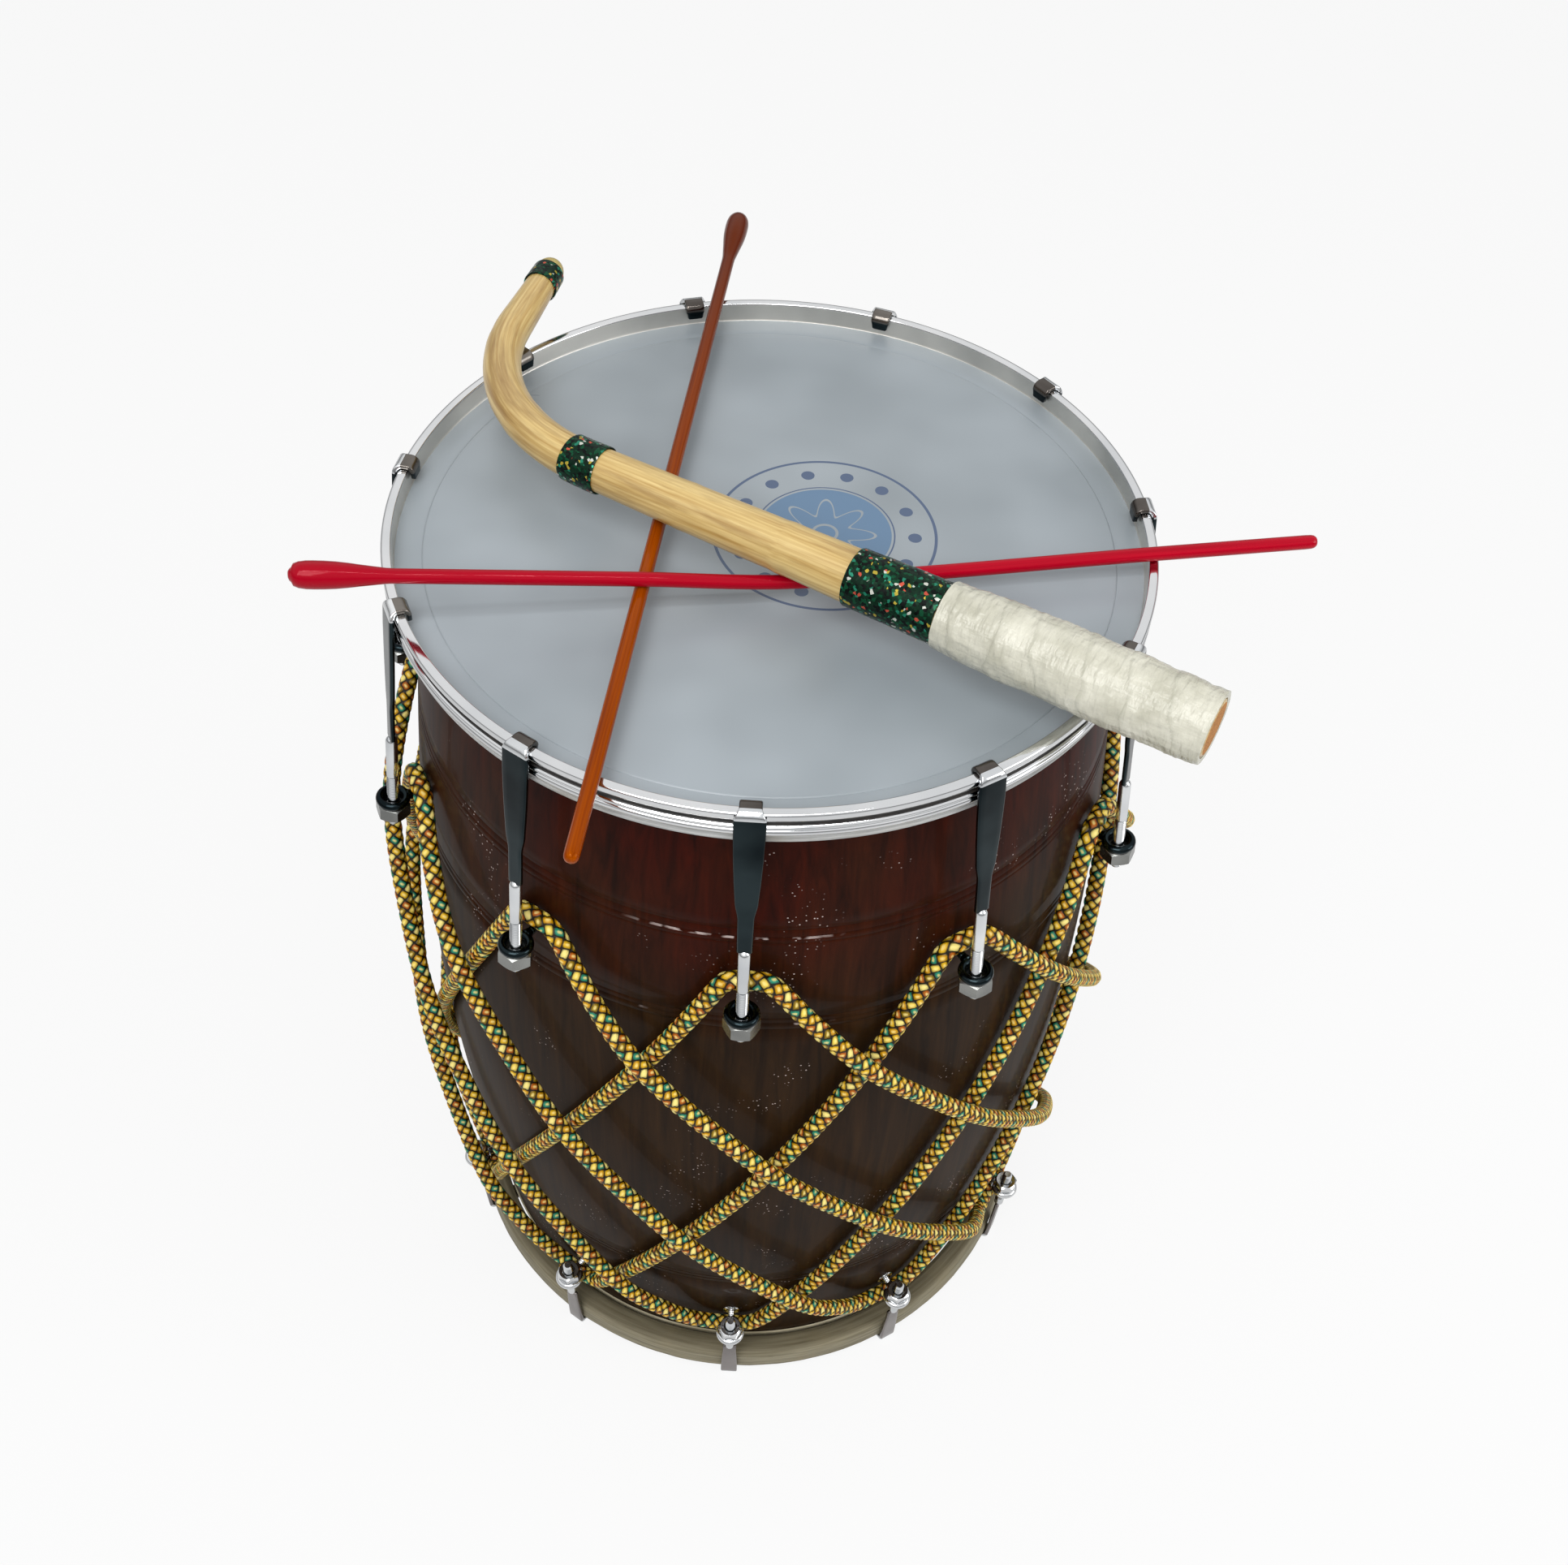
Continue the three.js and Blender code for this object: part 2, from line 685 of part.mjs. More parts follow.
// The red tihli is bowed: it rides over the brown one, the dagga holds it down, and it
// comes to rest on the far side of the hoop
function redTihli() {
  const bulbEnd = stepOn(redOverBrown, redHeading, -redBulbOverhang);
  const toDagga = reachToLine(bulbEnd, redHeading, daggaGripEnd, daggaHeading);
  const toHoop = reachToHoop(bulbEnd, redHeading, true);
  const daggaReach = reachToLine(daggaGripEnd, daggaHeading, bulbEnd, redHeading);
  const onBrown = brownHeight + tihliRadius + gap + tihliRadius;
  const underDagga = daggaHeight(daggaReach) - valueAt(caneGirth, daggaReach) - gap - tihliRadius;
  const onHoop = restHeight + tihliRadius;
  const rise = (onBrown - underDagga) / (toDagga - redBulbOverhang);
  const settle = (onHoop - underDagga) / (toHoop - toDagga);
  const stops = [
    [0, onBrown + rise * redBulbOverhang],
    [redBulbOverhang, onBrown],
    [toDagga, underDagga],
    [toHoop, onHoop],
    [tihliLength, onHoop + settle * (tihliLength - toHoop)]
  ];
  const curve = new THREE.CatmullRomCurve3(stops.map(([stop, height]) => {
    const place = stepOn(bulbEnd, redHeading, stop);
    return new THREE.Vector3(place.x, place.y, height);
  }));
  return tihli((stop) => curve.getPointAt(stop / tihliLength));
}

// The drum
const chrome = 0xd4d6da;
const darkChrome = 0x6d7072;

addPiece('shell', shell(), 0x3c100b, 0.25, 0);
addPiece('treble_head_film', head(filmFace, 1, filmThickness, shellTop - fleshHoopBottom),
  0xb6bec8, 0.35, 0);
addPiece('treble_flesh_hoop', trebleFleshHoop(), 0xc9cacb, 0.4, 0.3);
addPiece('treble_counter_hoop', counterHoop(), chrome, 0.15, 1);
addPiece('bass_head_skin', head(0, -1, skinThickness, bassHoopTop - shellBottom),
  0xb8b094, 0.7, 0);
addPiece('bass_flesh_hoop', bassHoop(), 0xa6a084, 0.75, 0);
addPiece('lacing_rope', lacing(), 0xc2922a, 0.8, 0);

for (const [name, side] of Object.entries(sides)) {
  const hookGeometry = hook(side);
  const nutGeometry = nut(side);
  for (let k = 0; k < lugCount; k++) {
    const lug = new THREE.Group();
    lug.rotation.z = k * lugStep;
    group.add(lug);
    const number = String(k + 1).padStart(2, '0');
    addPiece(`${name}_hook_${number}`, hookGeometry, darkChrome, 0.25, 1, lug);
    addPiece(`${name}_nut_${number}`, nutGeometry, chrome, 0.2, 1, lug);
  }
}

// The beaters
addPiece('tihli_brown', brownTihli(), 0x9a4a06, 0.35, 0);
addPiece('tihli_red', redTihli(), 0xd21539, 0.35, 0);
addPiece('dagga_cane', daggaCane(), 0xd9b878, 0.5, 0);
addPiece('dagga_grip_tape', onCane(0, gripLength, (stop) => valueAt(gripGirth, stop)),
  0xd6d3bd, 0.6, 0);
addPiece('dagga_grip_band', band(gripBandStart, gripBandLength), 0x0f5a3c, 0.4, 0.4);
addPiece('dagga_middle_band', band(middleBandStart, middleBandLength), 0x0f5a3c, 0.4, 0.4);
addPiece('dagga_tip_band', band(tipBandStart, tipBandLength), 0x0f5a3c, 0.4, 0.4);

export default group;
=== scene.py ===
import math

import bpy
from mathutils import Matrix, Vector, noise


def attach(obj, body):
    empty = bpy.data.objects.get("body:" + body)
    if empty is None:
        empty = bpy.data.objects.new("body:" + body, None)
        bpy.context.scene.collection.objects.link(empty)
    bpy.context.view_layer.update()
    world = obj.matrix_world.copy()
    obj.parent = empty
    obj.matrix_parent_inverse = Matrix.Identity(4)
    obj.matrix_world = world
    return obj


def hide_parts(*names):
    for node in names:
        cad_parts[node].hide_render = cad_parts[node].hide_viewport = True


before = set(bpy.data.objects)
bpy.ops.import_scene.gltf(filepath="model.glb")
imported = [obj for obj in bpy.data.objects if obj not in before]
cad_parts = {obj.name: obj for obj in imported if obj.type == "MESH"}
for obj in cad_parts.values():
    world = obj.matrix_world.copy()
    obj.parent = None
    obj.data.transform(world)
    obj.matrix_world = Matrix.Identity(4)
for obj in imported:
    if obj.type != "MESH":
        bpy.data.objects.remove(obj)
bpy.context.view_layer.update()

mm = 0.001  # sizes below are in millimetres, the scene is in metres
print("frame loaded:", len(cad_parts), "nodes")


# Camera and light

view = {
    "place": (13.2, -671, 1126.3),
    "elevation": 48.726,
    "roll": 3.407,
    "lens": 41.16,  # on the 36 mm wide sensor
}


def placeCamera():
    data = bpy.data.cameras.new("camera")
    data.sensor_width = 36
    data.lens = view["lens"]
    data.clip_start = 10 * mm
    camera = bpy.data.objects.new("camera", data)
    bpy.context.scene.collection.objects.link(camera)
    tilt = Matrix.Rotation(math.radians(90 - view["elevation"]), 4, "X")
    roll = Matrix.Rotation(math.radians(view["roll"]), 4, "Z")
    camera.matrix_world = Matrix.Translation(Vector(view["place"]) * mm) @ tilt @ roll
    bpy.context.scene.camera = camera


placeCamera()


def colour(code):
    # sRGB hex to linear RGBA
    shares = [int(code[i:i + 2], 16) / 255 for i in (1, 3, 5)]
    return (*[s / 12.92 if s <= 0.04045 else ((s + 0.055) / 1.055) ** 2.4 for s in shares], 1)


def plug(node, inputs):
    # inputs: a row from the first one in use on, or by name; a node stands for its first output in use
    sockets = [socket for socket in node.inputs if socket.enabled]
    if not isinstance(inputs, dict):
        inputs = dict(enumerate(inputs))
    for name, value in inputs.items():
        socket = sockets[name] if isinstance(name, int) else next(s for s in sockets if s.name == name)
        if isinstance(value, bpy.types.Node):
            value = next(output for output in value.outputs if output.enabled)
        if isinstance(value, bpy.types.NodeSocket):
            node.id_data.links.new(value, socket)
        else:
            socket.default_value = value


def addNode(tree, kind, inputs=(), stops=(), **settings):
    # stops are a ramp's positions with their hex colours or plain shares
    node = tree.nodes.new("ShaderNode" + kind)
    for name, value in settings.items():
        setattr(node, name, value)
    plug(node, inputs)
    for i, (position, tone) in enumerate(stops):
        if i == len(node.color_ramp.elements):
            node.color_ramp.elements.new(1)
        node.color_ramp.elements[i].position = position
        node.color_ramp.elements[i].color = colour(tone) if isinstance(tone, str) else (tone, tone, tone, 1)
    return node


studio = {
    "sky": 0.62,  # what the world gives matt surfaces
    "horizon": 0.22,  # what reflections see low down
    "aim": (0, 0, 0.3),
    # watts, sizes along and across, and place in metres
    "key": (21, (1.1, 1.1), (-0.35, -1.2, 2.0)),
    "side": (10, (0.9, 0.9), (1.7, -0.5, 1.1)),
    "tube": (3.4, (0.9, 0.05), (0, -0.5, 1.9)),  # narrow, for the thin highlights on gloss
}


def lightStudio():
    world = bpy.data.worlds.new("studio")
    world.use_nodes = True
    bpy.context.scene.world = world
    tree = world.node_tree
    path = addNode(tree, "LightPath")
    glossy = path.outputs["Is Glossy Ray"]
    seen = addNode(tree, "Math", [path.outputs["Is Camera Ray"], glossy], operation="MAXIMUM")
    shown = addNode(tree, "Math", [seen, path.outputs["Is Transmission Ray"]], operation="MAXIMUM")
    # reflections see the light overhead fall off towards a dimmer horizon
    rise = addNode(tree, "SeparateXYZ", [addNode(tree, "TexCoord").outputs["Generated"]])
    overhead = addNode(tree, "MapRange", [rise.outputs["Z"], 0.05, 0.6, studio["horizon"], 1],
                       interpolation_type="SMOOTHSTEP")
    mirrored = addNode(tree, "Mix", [glossy, 1, overhead], data_type="FLOAT")
    strength = addNode(tree, "Mix", [shown, studio["sky"], mirrored], data_type="FLOAT")
    plug(tree.nodes["Background"], {"Color": colour("#ffffff"), "Strength": strength})
    for name in ("key", "side", "tube"):
        watts, size, place = studio[name]
        data = bpy.data.lights.new(name, "AREA")
        data.energy = watts
        data.shape = "RECTANGLE"
        data.size, data.size_y = size
        lamp = bpy.data.objects.new(name, data)
        bpy.context.scene.collection.objects.link(lamp)
        ray = Vector(studio["aim"]) - Vector(place)
        lamp.matrix_world = Matrix.Translation(place) @ ray.to_track_quat("-Z", "Y").to_matrix().to_4x4()
    bpy.context.scene.view_settings.view_transform = "Standard"


lightStudio()
print("camera and light set")


# Finishes

beforeBend = ("Attribute", "Vector", {"attribute_name": "straight"})
alongBraid = ("UVMap", "UV", {"uv_map": "braid"})


def startMaterial(name, values, follow=("TexCoord", "Object", {})):
    # also returns the place that its patterns follow
    material = bpy.data.materials.new(name)
    material.use_nodes = True
    tree = material.node_tree
    plug(tree.nodes["Principled BSDF"], values)
    kind, output, settings = follow
    return material, tree, addNode(tree, kind, **settings).outputs[output]


def endMaterial(material, links, relief=None):
    # relief: a height with its strength and its depth in millimetres
    tree = material.node_tree
    if relief:
        height, strength, depth = relief
        bump = addNode(tree, "Bump", {"Strength": strength, "Distance": depth * mm, "Height": height})
        links = {**links, "Normal": bump}
    plug(tree.nodes["Principled BSDF"], links)
    return material


def layPattern(tree, place, size, settings={}, kind="TexNoise", turn=(0, 0, 0)):
    # size: the millimetres that one step of the pattern takes, the same or one for each axis
    lengths = size if isinstance(size, tuple) else (size,) * 3
    scale = [1 / (length * mm) for length in lengths]
    steps = addNode(tree, "Mapping", {"Scale": scale, "Rotation": turn, "Vector": place})
    return addNode(tree, kind, {"Scale": 1, **settings, "Vector": steps})


def tintOver(tree, under, code, value, start=0, end=1, most=1):
    # a colour comes over another one as the value goes from start to end
    share = addNode(tree, "MapRange", [value, start, end, 0, most])
    return addNode(tree, "Mix", [share, under, colour(code)], data_type="RGBA")


dustAndGlints = {
    "tone": "#b9a9a4", "speckStep": 2.6, "speckShare": 0.16, "driftStep": 38,
    # two thick drifts at the front: place, where each starts, where it is full, and what it adds
    "drifts": (((-32, -185, 240), 34, 8, 0.13), ((34, -180, 452), 34, 8, 0.13)),
    # painted highlights: broken pale dashes along the two upper turned lines, round the front hook
    "glintDashes": ((-5, -185, 430), 62, 40, 0.8), "glintStep": 9, "glintLines": (457.7, 395.7), "glintWidth": 0.5,
}


def growNear(tree, place, spot, far, near, most):
    away = addNode(tree, "VectorMath", [place, Vector(spot) * mm], operation="DISTANCE")
    return addNode(tree, "MapRange", [away, far * mm, near * mm, 0, most])


def layDustAndGlints(tree, place, height):
    # pale dust specks, a third of a millimetre across, caught in drifts, and painted highlights as broken
    # pale dashes along the turned lines
    cells = layPattern(tree, place, dustAndGlints["speckStep"], {}, "TexVoronoi")
    speck = addNode(tree, "Math", [cells, dustAndGlints["speckShare"]], operation="LESS_THAN")
    drift = layPattern(tree, place, dustAndGlints["driftStep"])
    for thick in dustAndGlints["drifts"]:
        drift = addNode(tree, "Math", [drift, growNear(tree, place, *thick)], operation="ADD")
    drifted = addNode(tree, "MapRange", [drift, 0.6, 0.7])
    specksAndGlints = addNode(tree, "Math", [speck, drifted], operation="MULTIPLY")
    broken = addNode(tree, "MapRange", [layPattern(tree, place, dustAndGlints["glintStep"]), 0.5, 0.58])
    glintDashes = addNode(tree, "Math", [broken, growNear(tree, place, *dustAndGlints["glintDashes"])], operation="MULTIPLY")
    # painted highlight: the dashes lay the pale tone along each upper turned line
    for line in dustAndGlints["glintLines"]:
        inLine = addNode(tree, "Math", [height, line * mm, dustAndGlints["glintWidth"] * mm], operation="COMPARE")
        specksAndGlints = addNode(tree, "Math", [inLine, glintDashes, specksAndGlints], operation="MULTIPLY_ADD")
    return specksAndGlints


def lacqueredWood():
    # Turned hardwood under brushed gloss lacquer: long dark grain deep in a wet, mirror-like coat,
    # redder where the coat is thin near the treble end, dusty, and with painted highlights dashed along the
    # upper turned lines
    material, tree, place = startMaterial("lacquered_hardwood", {
        "Roughness": 0.5, "IOR": 1.45, "Specular IOR Level": 0.05,
        "Coat Weight": 0.08, "Coat Roughness": 0.05, "Coat IOR": 1.27})
    grain = layPattern(tree, place, (7, 7, 120), {"Detail": 6, "Roughness": 0.62, "Distortion": 0.6})
    cloud = layPattern(tree, place, (70, 70, 110), {"Detail": 3})
    wood = addNode(tree, "ValToRGB", [grain], [(0.3, "#190e06"), (0.72, "#33200d")])
    redWood = addNode(tree, "ValToRGB", [grain], [(0.3, "#1d0300"), (0.75, "#430800")])
    height = addNode(tree, "SeparateXYZ", [place]).outputs["Z"]
    blotch = addNode(tree, "Math", [cloud, 0.22, height], operation="MULTIPLY_ADD")
    redShare = addNode(tree, "MapRange", [blotch, 0.5, 0.66])
    tone = addNode(tree, "Mix", [redShare, wood, redWood], data_type="RGBA")
    tone = tintOver(tree, tone, dustAndGlints["tone"], layDustAndGlints(tree, place, height))
    waves = layPattern(tree, place, 22)
    ripples = addNode(tree, "Bump", {"Strength": 0.12, "Distance": 0.6 * mm, "Height": waves})
    haze = addNode(tree, "MapRange", [cloud, 0, 1, 0.02, 0.12])
    return endMaterial(material, {"Base Color": tone, "Coat Normal": ripples, "Coat Roughness": haze})


def plainFinish(name, values, pattern, tones, relief, *follow):
    # one pattern gives both the tone and the relief
    material, tree, place = startMaterial(name, values, *follow)
    grain = layPattern(tree, place, *pattern)
    tone = addNode(tree, "ValToRGB", [grain], tones)
    return endMaterial(material, {"Base Color": tone}, (grain, *relief))


rosette = {
    "centre": (26, 5), "outerRing": 55, "innerRing": 34.5, "lineWidth": 1.5,
    "disc": 33, "petals": 8, "petalReach": 25, "petalWave": 6, "heart": 6,
    "dots": 14, "dotRing": 44.5, "dotRadius": 3.4,
}


def paintRosette(tree, place):
    # The blue print on the head: two rings, a ring of dots and a disc with a pale flower
    centre = Vector((*rosette["centre"], 0))
    shifted = addNode(tree, "Mapping", {"Scale": (1 / mm,) * 3, "Location": -centre, "Vector": place})
    flat = addNode(tree, "VectorMath", [shifted, (1, 1, 0)], operation="MULTIPLY")
    radius = addNode(tree, "VectorMath", [flat], operation="LENGTH")
    parts = addNode(tree, "SeparateXYZ", [flat]).outputs
    angle = addNode(tree, "Math", [parts["Y"], parts["X"]], operation="ARCTAN2")
    half = rosette["lineWidth"] / 2
    outer, inner, heart = [
        addNode(tree, "Math", [radius, rosette[name], width], operation="COMPARE")
        for name, width in (("outerRing", half), ("innerRing", half / 2), ("heart", half))]
    rings = addNode(tree, "Math", [outer, inner], operation="MAXIMUM")
    turn = addNode(tree, "Math", [angle, rosette["dots"] / (2 * math.pi)], operation="MULTIPLY")
    cell = addNode(tree, "Math", [turn, 0.5, -0.5], operation="WRAP")
    dotStep = 2 * math.pi * rosette["dotRing"] / rosette["dots"]
    across = addNode(tree, "Math", [cell, dotStep], operation="MULTIPLY")
    along = addNode(tree, "Math", [radius, rosette["dotRing"]], operation="SUBTRACT")
    spot = addNode(tree, "CombineXYZ", [across, along])
    spotSize = addNode(tree, "VectorMath", [spot], operation="LENGTH")
    dots = addNode(tree, "Math", [spotSize, rosette["dotRadius"]], operation="LESS_THAN")
    wave = addNode(tree, "Math", [angle, rosette["petals"]], operation="MULTIPLY")
    swing = addNode(tree, "Math", [wave], operation="COSINE")
    reach = addNode(tree, "Math", [swing, rosette["petalWave"], rosette["petalReach"] - rosette["petalWave"]],
                    operation="MULTIPLY_ADD")
    fromEdge = addNode(tree, "Math", [radius, reach], operation="SUBTRACT")
    outline = addNode(tree, "Math", [fromEdge, 0, half], operation="COMPARE")
    disc = addNode(tree, "Math", [radius, rosette["disc"]], operation="LESS_THAN")
    cut = addNode(tree, "Math", [outline, heart], operation="MAXIMUM")
    filled = addNode(tree, "Math", [disc, cut], operation="SUBTRACT", use_clamp=True)
    return addNode(tree, "Math", [rings, dots], operation="MAXIMUM"), filled


def drumFilm():
    # Moulded polyester film, milky and blue-grey, with a fine sprayed tooth and rubbed marks
    material, tree, place = startMaterial("milky_polyester_film", {
        "Roughness": 0.3, "IOR": 1.57, "Specular IOR Level": 0.4})
    milk = addNode(tree, "ValToRGB", [layPattern(tree, place, 90)], [(0.3, "#868e93"), (0.75, "#9da5ab")])
    lines, disc = paintRosette(tree, place)
    printed = tintOver(tree, tintOver(tree, milk, "#5d7995", disc), "#4a5a75", lines)
    rub = layPattern(tree, place, (60, 9, 60), {"Detail": 4}, turn=(0, 0, 0.5))
    dull = addNode(tree, "MapRange", [rub, 0, 1, 0.22, 0.42])
    tooth = layPattern(tree, place, 0.8)
    return endMaterial(material, {"Base Color": printed, "Roughness": dull}, (tooth, 0.08, 0.05))


def platedSteel(name, tones, smooth, dull):
    # Chrome or nickel over pressed steel: mirror-bright, hazed in patches by handling
    material, tree, place = startMaterial(name, {"Metallic": 1})
    haze = layPattern(tree, place, 45, {"Detail": 3})
    hazed = addNode(tree, "MapRange", [haze, 0.35, 0.7, smooth, dull])
    tint = addNode(tree, "ValToRGB", [haze], zip((0.35, 0.65), tones))
    pits = layPattern(tree, place, 1.5, {"Detail": 3})
    return endMaterial(material, {"Base Color": tint, "Roughness": hazed}, (pits, 0.1, 0.04))


def rawHide(name, dark, light, stretch):
    # Dried hide: matt cream-grey, streaked along its pull, with faint pores and stains
    material, tree, place = startMaterial(name, {"Roughness": 0.7, "IOR": 1.45, "Specular IOR Level": 0.3})
    streak = layPattern(tree, place, stretch, {"Detail": 6, "Roughness": 0.6})
    tone = addNode(tree, "ValToRGB", [streak], [(0.32, dark), (0.68, light)])
    tone = tintOver(tree, tone, "#8a7a58", layPattern(tree, place, 40, {"Detail": 3}), 0.5, 0.8, 0.45)
    pores = layPattern(tree, place, 1.6, {"Detail": 3})
    both = addNode(tree, "Math", [pores, 0.3, streak], operation="MULTIPLY_ADD")
    return endMaterial(material, {"Base Color": tone}, (both, 0.5, 0.6))


def hoopHide():
    # The same hide lapped round the hoop: its streaks run round the drum, and its edges are browner
    material, tree, place = startMaterial("lapped_goat_hide", {
        "Roughness": 0.62, "IOR": 1.45, "Specular IOR Level": 0.35})
    x, y, z = addNode(tree, "SeparateXYZ", [place]).outputs
    flat = addNode(tree, "CombineXYZ", [x, y])
    reach = addNode(tree, "VectorMath", [flat], operation="LENGTH")
    angle = addNode(tree, "Math", [y, x], operation="ARCTAN2")
    turns = addNode(tree, "CombineXYZ", [reach, angle, z])
    # 1.6 mm across the streaks, and a quarter radian (about 45 mm) along them
    streak = layPattern(tree, turns, (1.6, 250, 1.6), {"Detail": 5, "Roughness": 0.6})
    tone = addNode(tree, "ValToRGB", [streak], [(0.3, "#665f4b"), (0.66, "#979079")])
    middle = addNode(tree, "Math", [z, 5.75 * mm], operation="SUBTRACT")
    away = addNode(tree, "Math", [middle], operation="ABSOLUTE")
    tone = tintOver(tree, tone, "#5f563f", away, 6.5 * mm, 9.5 * mm, 0.6)
    tone = tintOver(tree, tone, "#8c7f60", layPattern(tree, place, 35, {"Detail": 3}), 0.52, 0.75, 0.5)
    return endMaterial(material, {"Base Color": tone}, (streak, 0.6, 0.5))


braidPicks = {
    # strand colours, first those that lean right and then those that lean left
    "right": ["#cc9405", "#23866a", "#dcae1e", "#b35f0c"],
    "left": ["#f0dd80", "#c99405", "#e9cb54", "#8c6f04"],
    "threads": 5,  # across one strand
    # how high a pick stands across its strand and along it
    "crown": [(0.05, 0), (0.2, 0.5), (0.36, 0.9), (0.5, 1), (0.64, 0.9), (0.8, 0.5), (0.95, 0)],
    "dip": [(0, 0.25), (0.12, 0.65), (0.3, 0.92), (0.5, 1), (0.7, 0.92), (0.88, 0.65), (1, 0.25)],
}


def braidedCord():
    # Hard-laid polyester sash cord: four strands each way, gold with cream, orange and teal tracers.
    # Each pick is a shiny bead of threads, with a painted highlight on its crown and painted shade in the
    # slit round it
    material, tree, braid = startMaterial("braided_polyester_cord", {
        "Roughness": 0.38, "IOR": 1.5, "Specular IOR Level": 0.25}, alongBraid)
    # turned by an eighth, y counts the strands that lean right and x those that lean left, and the
    # half puts each crossing in the middle of a unit square
    lays = addNode(tree, "Mapping", {"Rotation": (0, 0, math.pi / 4), "Location": (0.5, 0.5, 0),
                                     "Scale": (math.sqrt(2), math.sqrt(2), 1), "Vector": braid})
    square = addNode(tree, "VectorMath", [lays], operation="FLOOR")
    count = addNode(tree, "VectorMath", [square, (1, 1, 0)], operation="DOT_PRODUCT")
    upper = addNode(tree, "Math", [count, 1], operation="PINGPONG")
    inside = addNode(tree, "VectorMath", [lays], operation="FRACTION")
    spot = addNode(tree, "SeparateXYZ", [inside]).outputs
    across = addNode(tree, "Mix", [upper, spot["Y"], spot["X"]], data_type="FLOAT")
    along = addNode(tree, "Mix", [upper, spot["X"], spot["Y"]], data_type="FLOAT")
    crown = addNode(tree, "ValToRGB", [across], braidPicks["crown"])
    dip = addNode(tree, "ValToRGB", [along], braidPicks["dip"])
    height = addNode(tree, "Math", [crown, dip], operation="MULTIPLY")
    fourths = addNode(tree, "VectorMath", [square, (0.25,) * 3, (0.125,) * 3], operation="MULTIPLY_ADD")
    fourth = addNode(tree, "VectorMath", [fourths], operation="FRACTION")
    turn = addNode(tree, "SeparateXYZ", [fourth]).outputs
    strands = []
    for lean, counted in (("right", "Y"), ("left", "X")):
        ramp = addNode(tree, "ValToRGB", [turn[counted]],
                       [(i / 4, code) for i, code in enumerate(braidPicks[lean])])
        ramp.color_ramp.interpolation = "CONSTANT"
        strands.append(ramp)
    tone = addNode(tree, "Mix", [upper, strands[0], strands[1]], data_type="RGBA")
    # painted shade: the slit round each pick is darkened nearly to black
    tone = tintOver(tree, tone, "#140e02", height, 0.62, 0.12)
    # painted highlight: each pick's crown is lightened to pale yellow
    tone = tintOver(tree, tone, "#ffe88e", height, 0.74, 0.98, 0.75)
    stripes = addNode(tree, "Math", [across, 2 * math.pi * braidPicks["threads"]], operation="MULTIPLY")
    thread = addNode(tree, "Math", [stripes], operation="COSINE")
    rounded = addNode(tree, "Math", [thread, 0.04, height], operation="MULTIPLY_ADD")
    return endMaterial(material, {"Base Color": tone}, (rounded, 0.8, 0.9))


def mouldedRod(name, dark, light, bulb, glint, gloss):
    # Extruded rod, darker towards its moulded bulb, partly as painted shade that fades in over 250 mm:
    # glossy, with faint draw lines along it
    material, tree, place = startMaterial(name, {
        "IOR": 1.49, "Specular IOR Level": gloss, "Specular Tint": colour(glint)}, beforeBend)
    lines = layPattern(tree, place, (1.2, 1.2, 90), {"Detail": 4})
    tone = addNode(tree, "ValToRGB", [lines], [(0.3, dark), (0.7, light)])
    height = addNode(tree, "SeparateXYZ", [place]).outputs["Z"]
    # painted shade: the bulb colour fades in from 290 mm to 40 mm along the rod, as the light falls off
    # towards that end
    tone = tintOver(tree, tone, bulb, height, 290 * mm, 40 * mm)
    dull = addNode(tree, "MapRange", [layPattern(tree, place, 14, {"Detail": 3}), 0, 1, 0.03, 0.12])
    return endMaterial(material, {"Base Color": tone, "Roughness": dull}, (lines, 0.2, 0.15))


def rattanCane():
    # Steamed and varnished cane: pale straw with long soft brown streaks, scorched at the tip
    material, tree, place = startMaterial("varnished_cane", {
        "Roughness": 0.36, "IOR": 1.5, "Coat Weight": 0.35, "Coat Roughness": 0.15}, beforeBend)
    fibres = layPattern(tree, place, (1.4, 1.4, 60), {"Detail": 5})
    tone = addNode(tree, "ValToRGB", [fibres], [(0.3, "#b3904f"), (0.7, "#d9bf80")])
    streaks = layPattern(tree, place, (7, 7, 70), {"Detail": 4, "Roughness": 0.6})
    tone = tintOver(tree, tone, "#8f6c36", streaks, 0.46, 0.68, 0.9)
    height = addNode(tree, "SeparateXYZ", [place]).outputs["Z"]
    tone = tintOver(tree, tone, "#a8984e", height, 486 * mm, 508 * mm, 0.8)
    return endMaterial(material, {"Base Color": tone}, (fibres, 0.25, 0.2))


def gripTape():
    # Stretched vinyl grip tape: off-white and glossy, puckered across each wrap, darker along each wrap's
    # stepped edge
    material, tree, place = startMaterial("vinyl_grip_tape", {"Roughness": 0.3, "IOR": 1.5}, beforeBend)
    grime = layPattern(tree, place, 16, {"Detail": 4})
    tone = addNode(tree, "ValToRGB", [grime], [(0.3, "#b2b09f"), (0.7, "#d5d3c4")])
    lap = addNode(tree, "Attribute", attribute_name="lap").outputs["Fac"]
    # darker along the stepped edge of each wrap, from 0.86 of the way across it
    tone = tintOver(tree, tone, "#868773", lap, 0.86, 1, 0.24)
    dull = addNode(tree, "MapRange", [grime, 0, 1, 0.13, 0.34])
    puckers = layPattern(tree, place, (9, 9, 2.4), {"Detail": 4})
    drag = layPattern(tree, place, (5, 5, 22), {"Detail": 3}, turn=(0.5, 0.3, 0))
    folds = addNode(tree, "Math", [drag, 0.9, puckers], operation="MULTIPLY_ADD")
    return endMaterial(material, {"Base Color": tone, "Roughness": dull}, (folds, 0.85, 1.5))


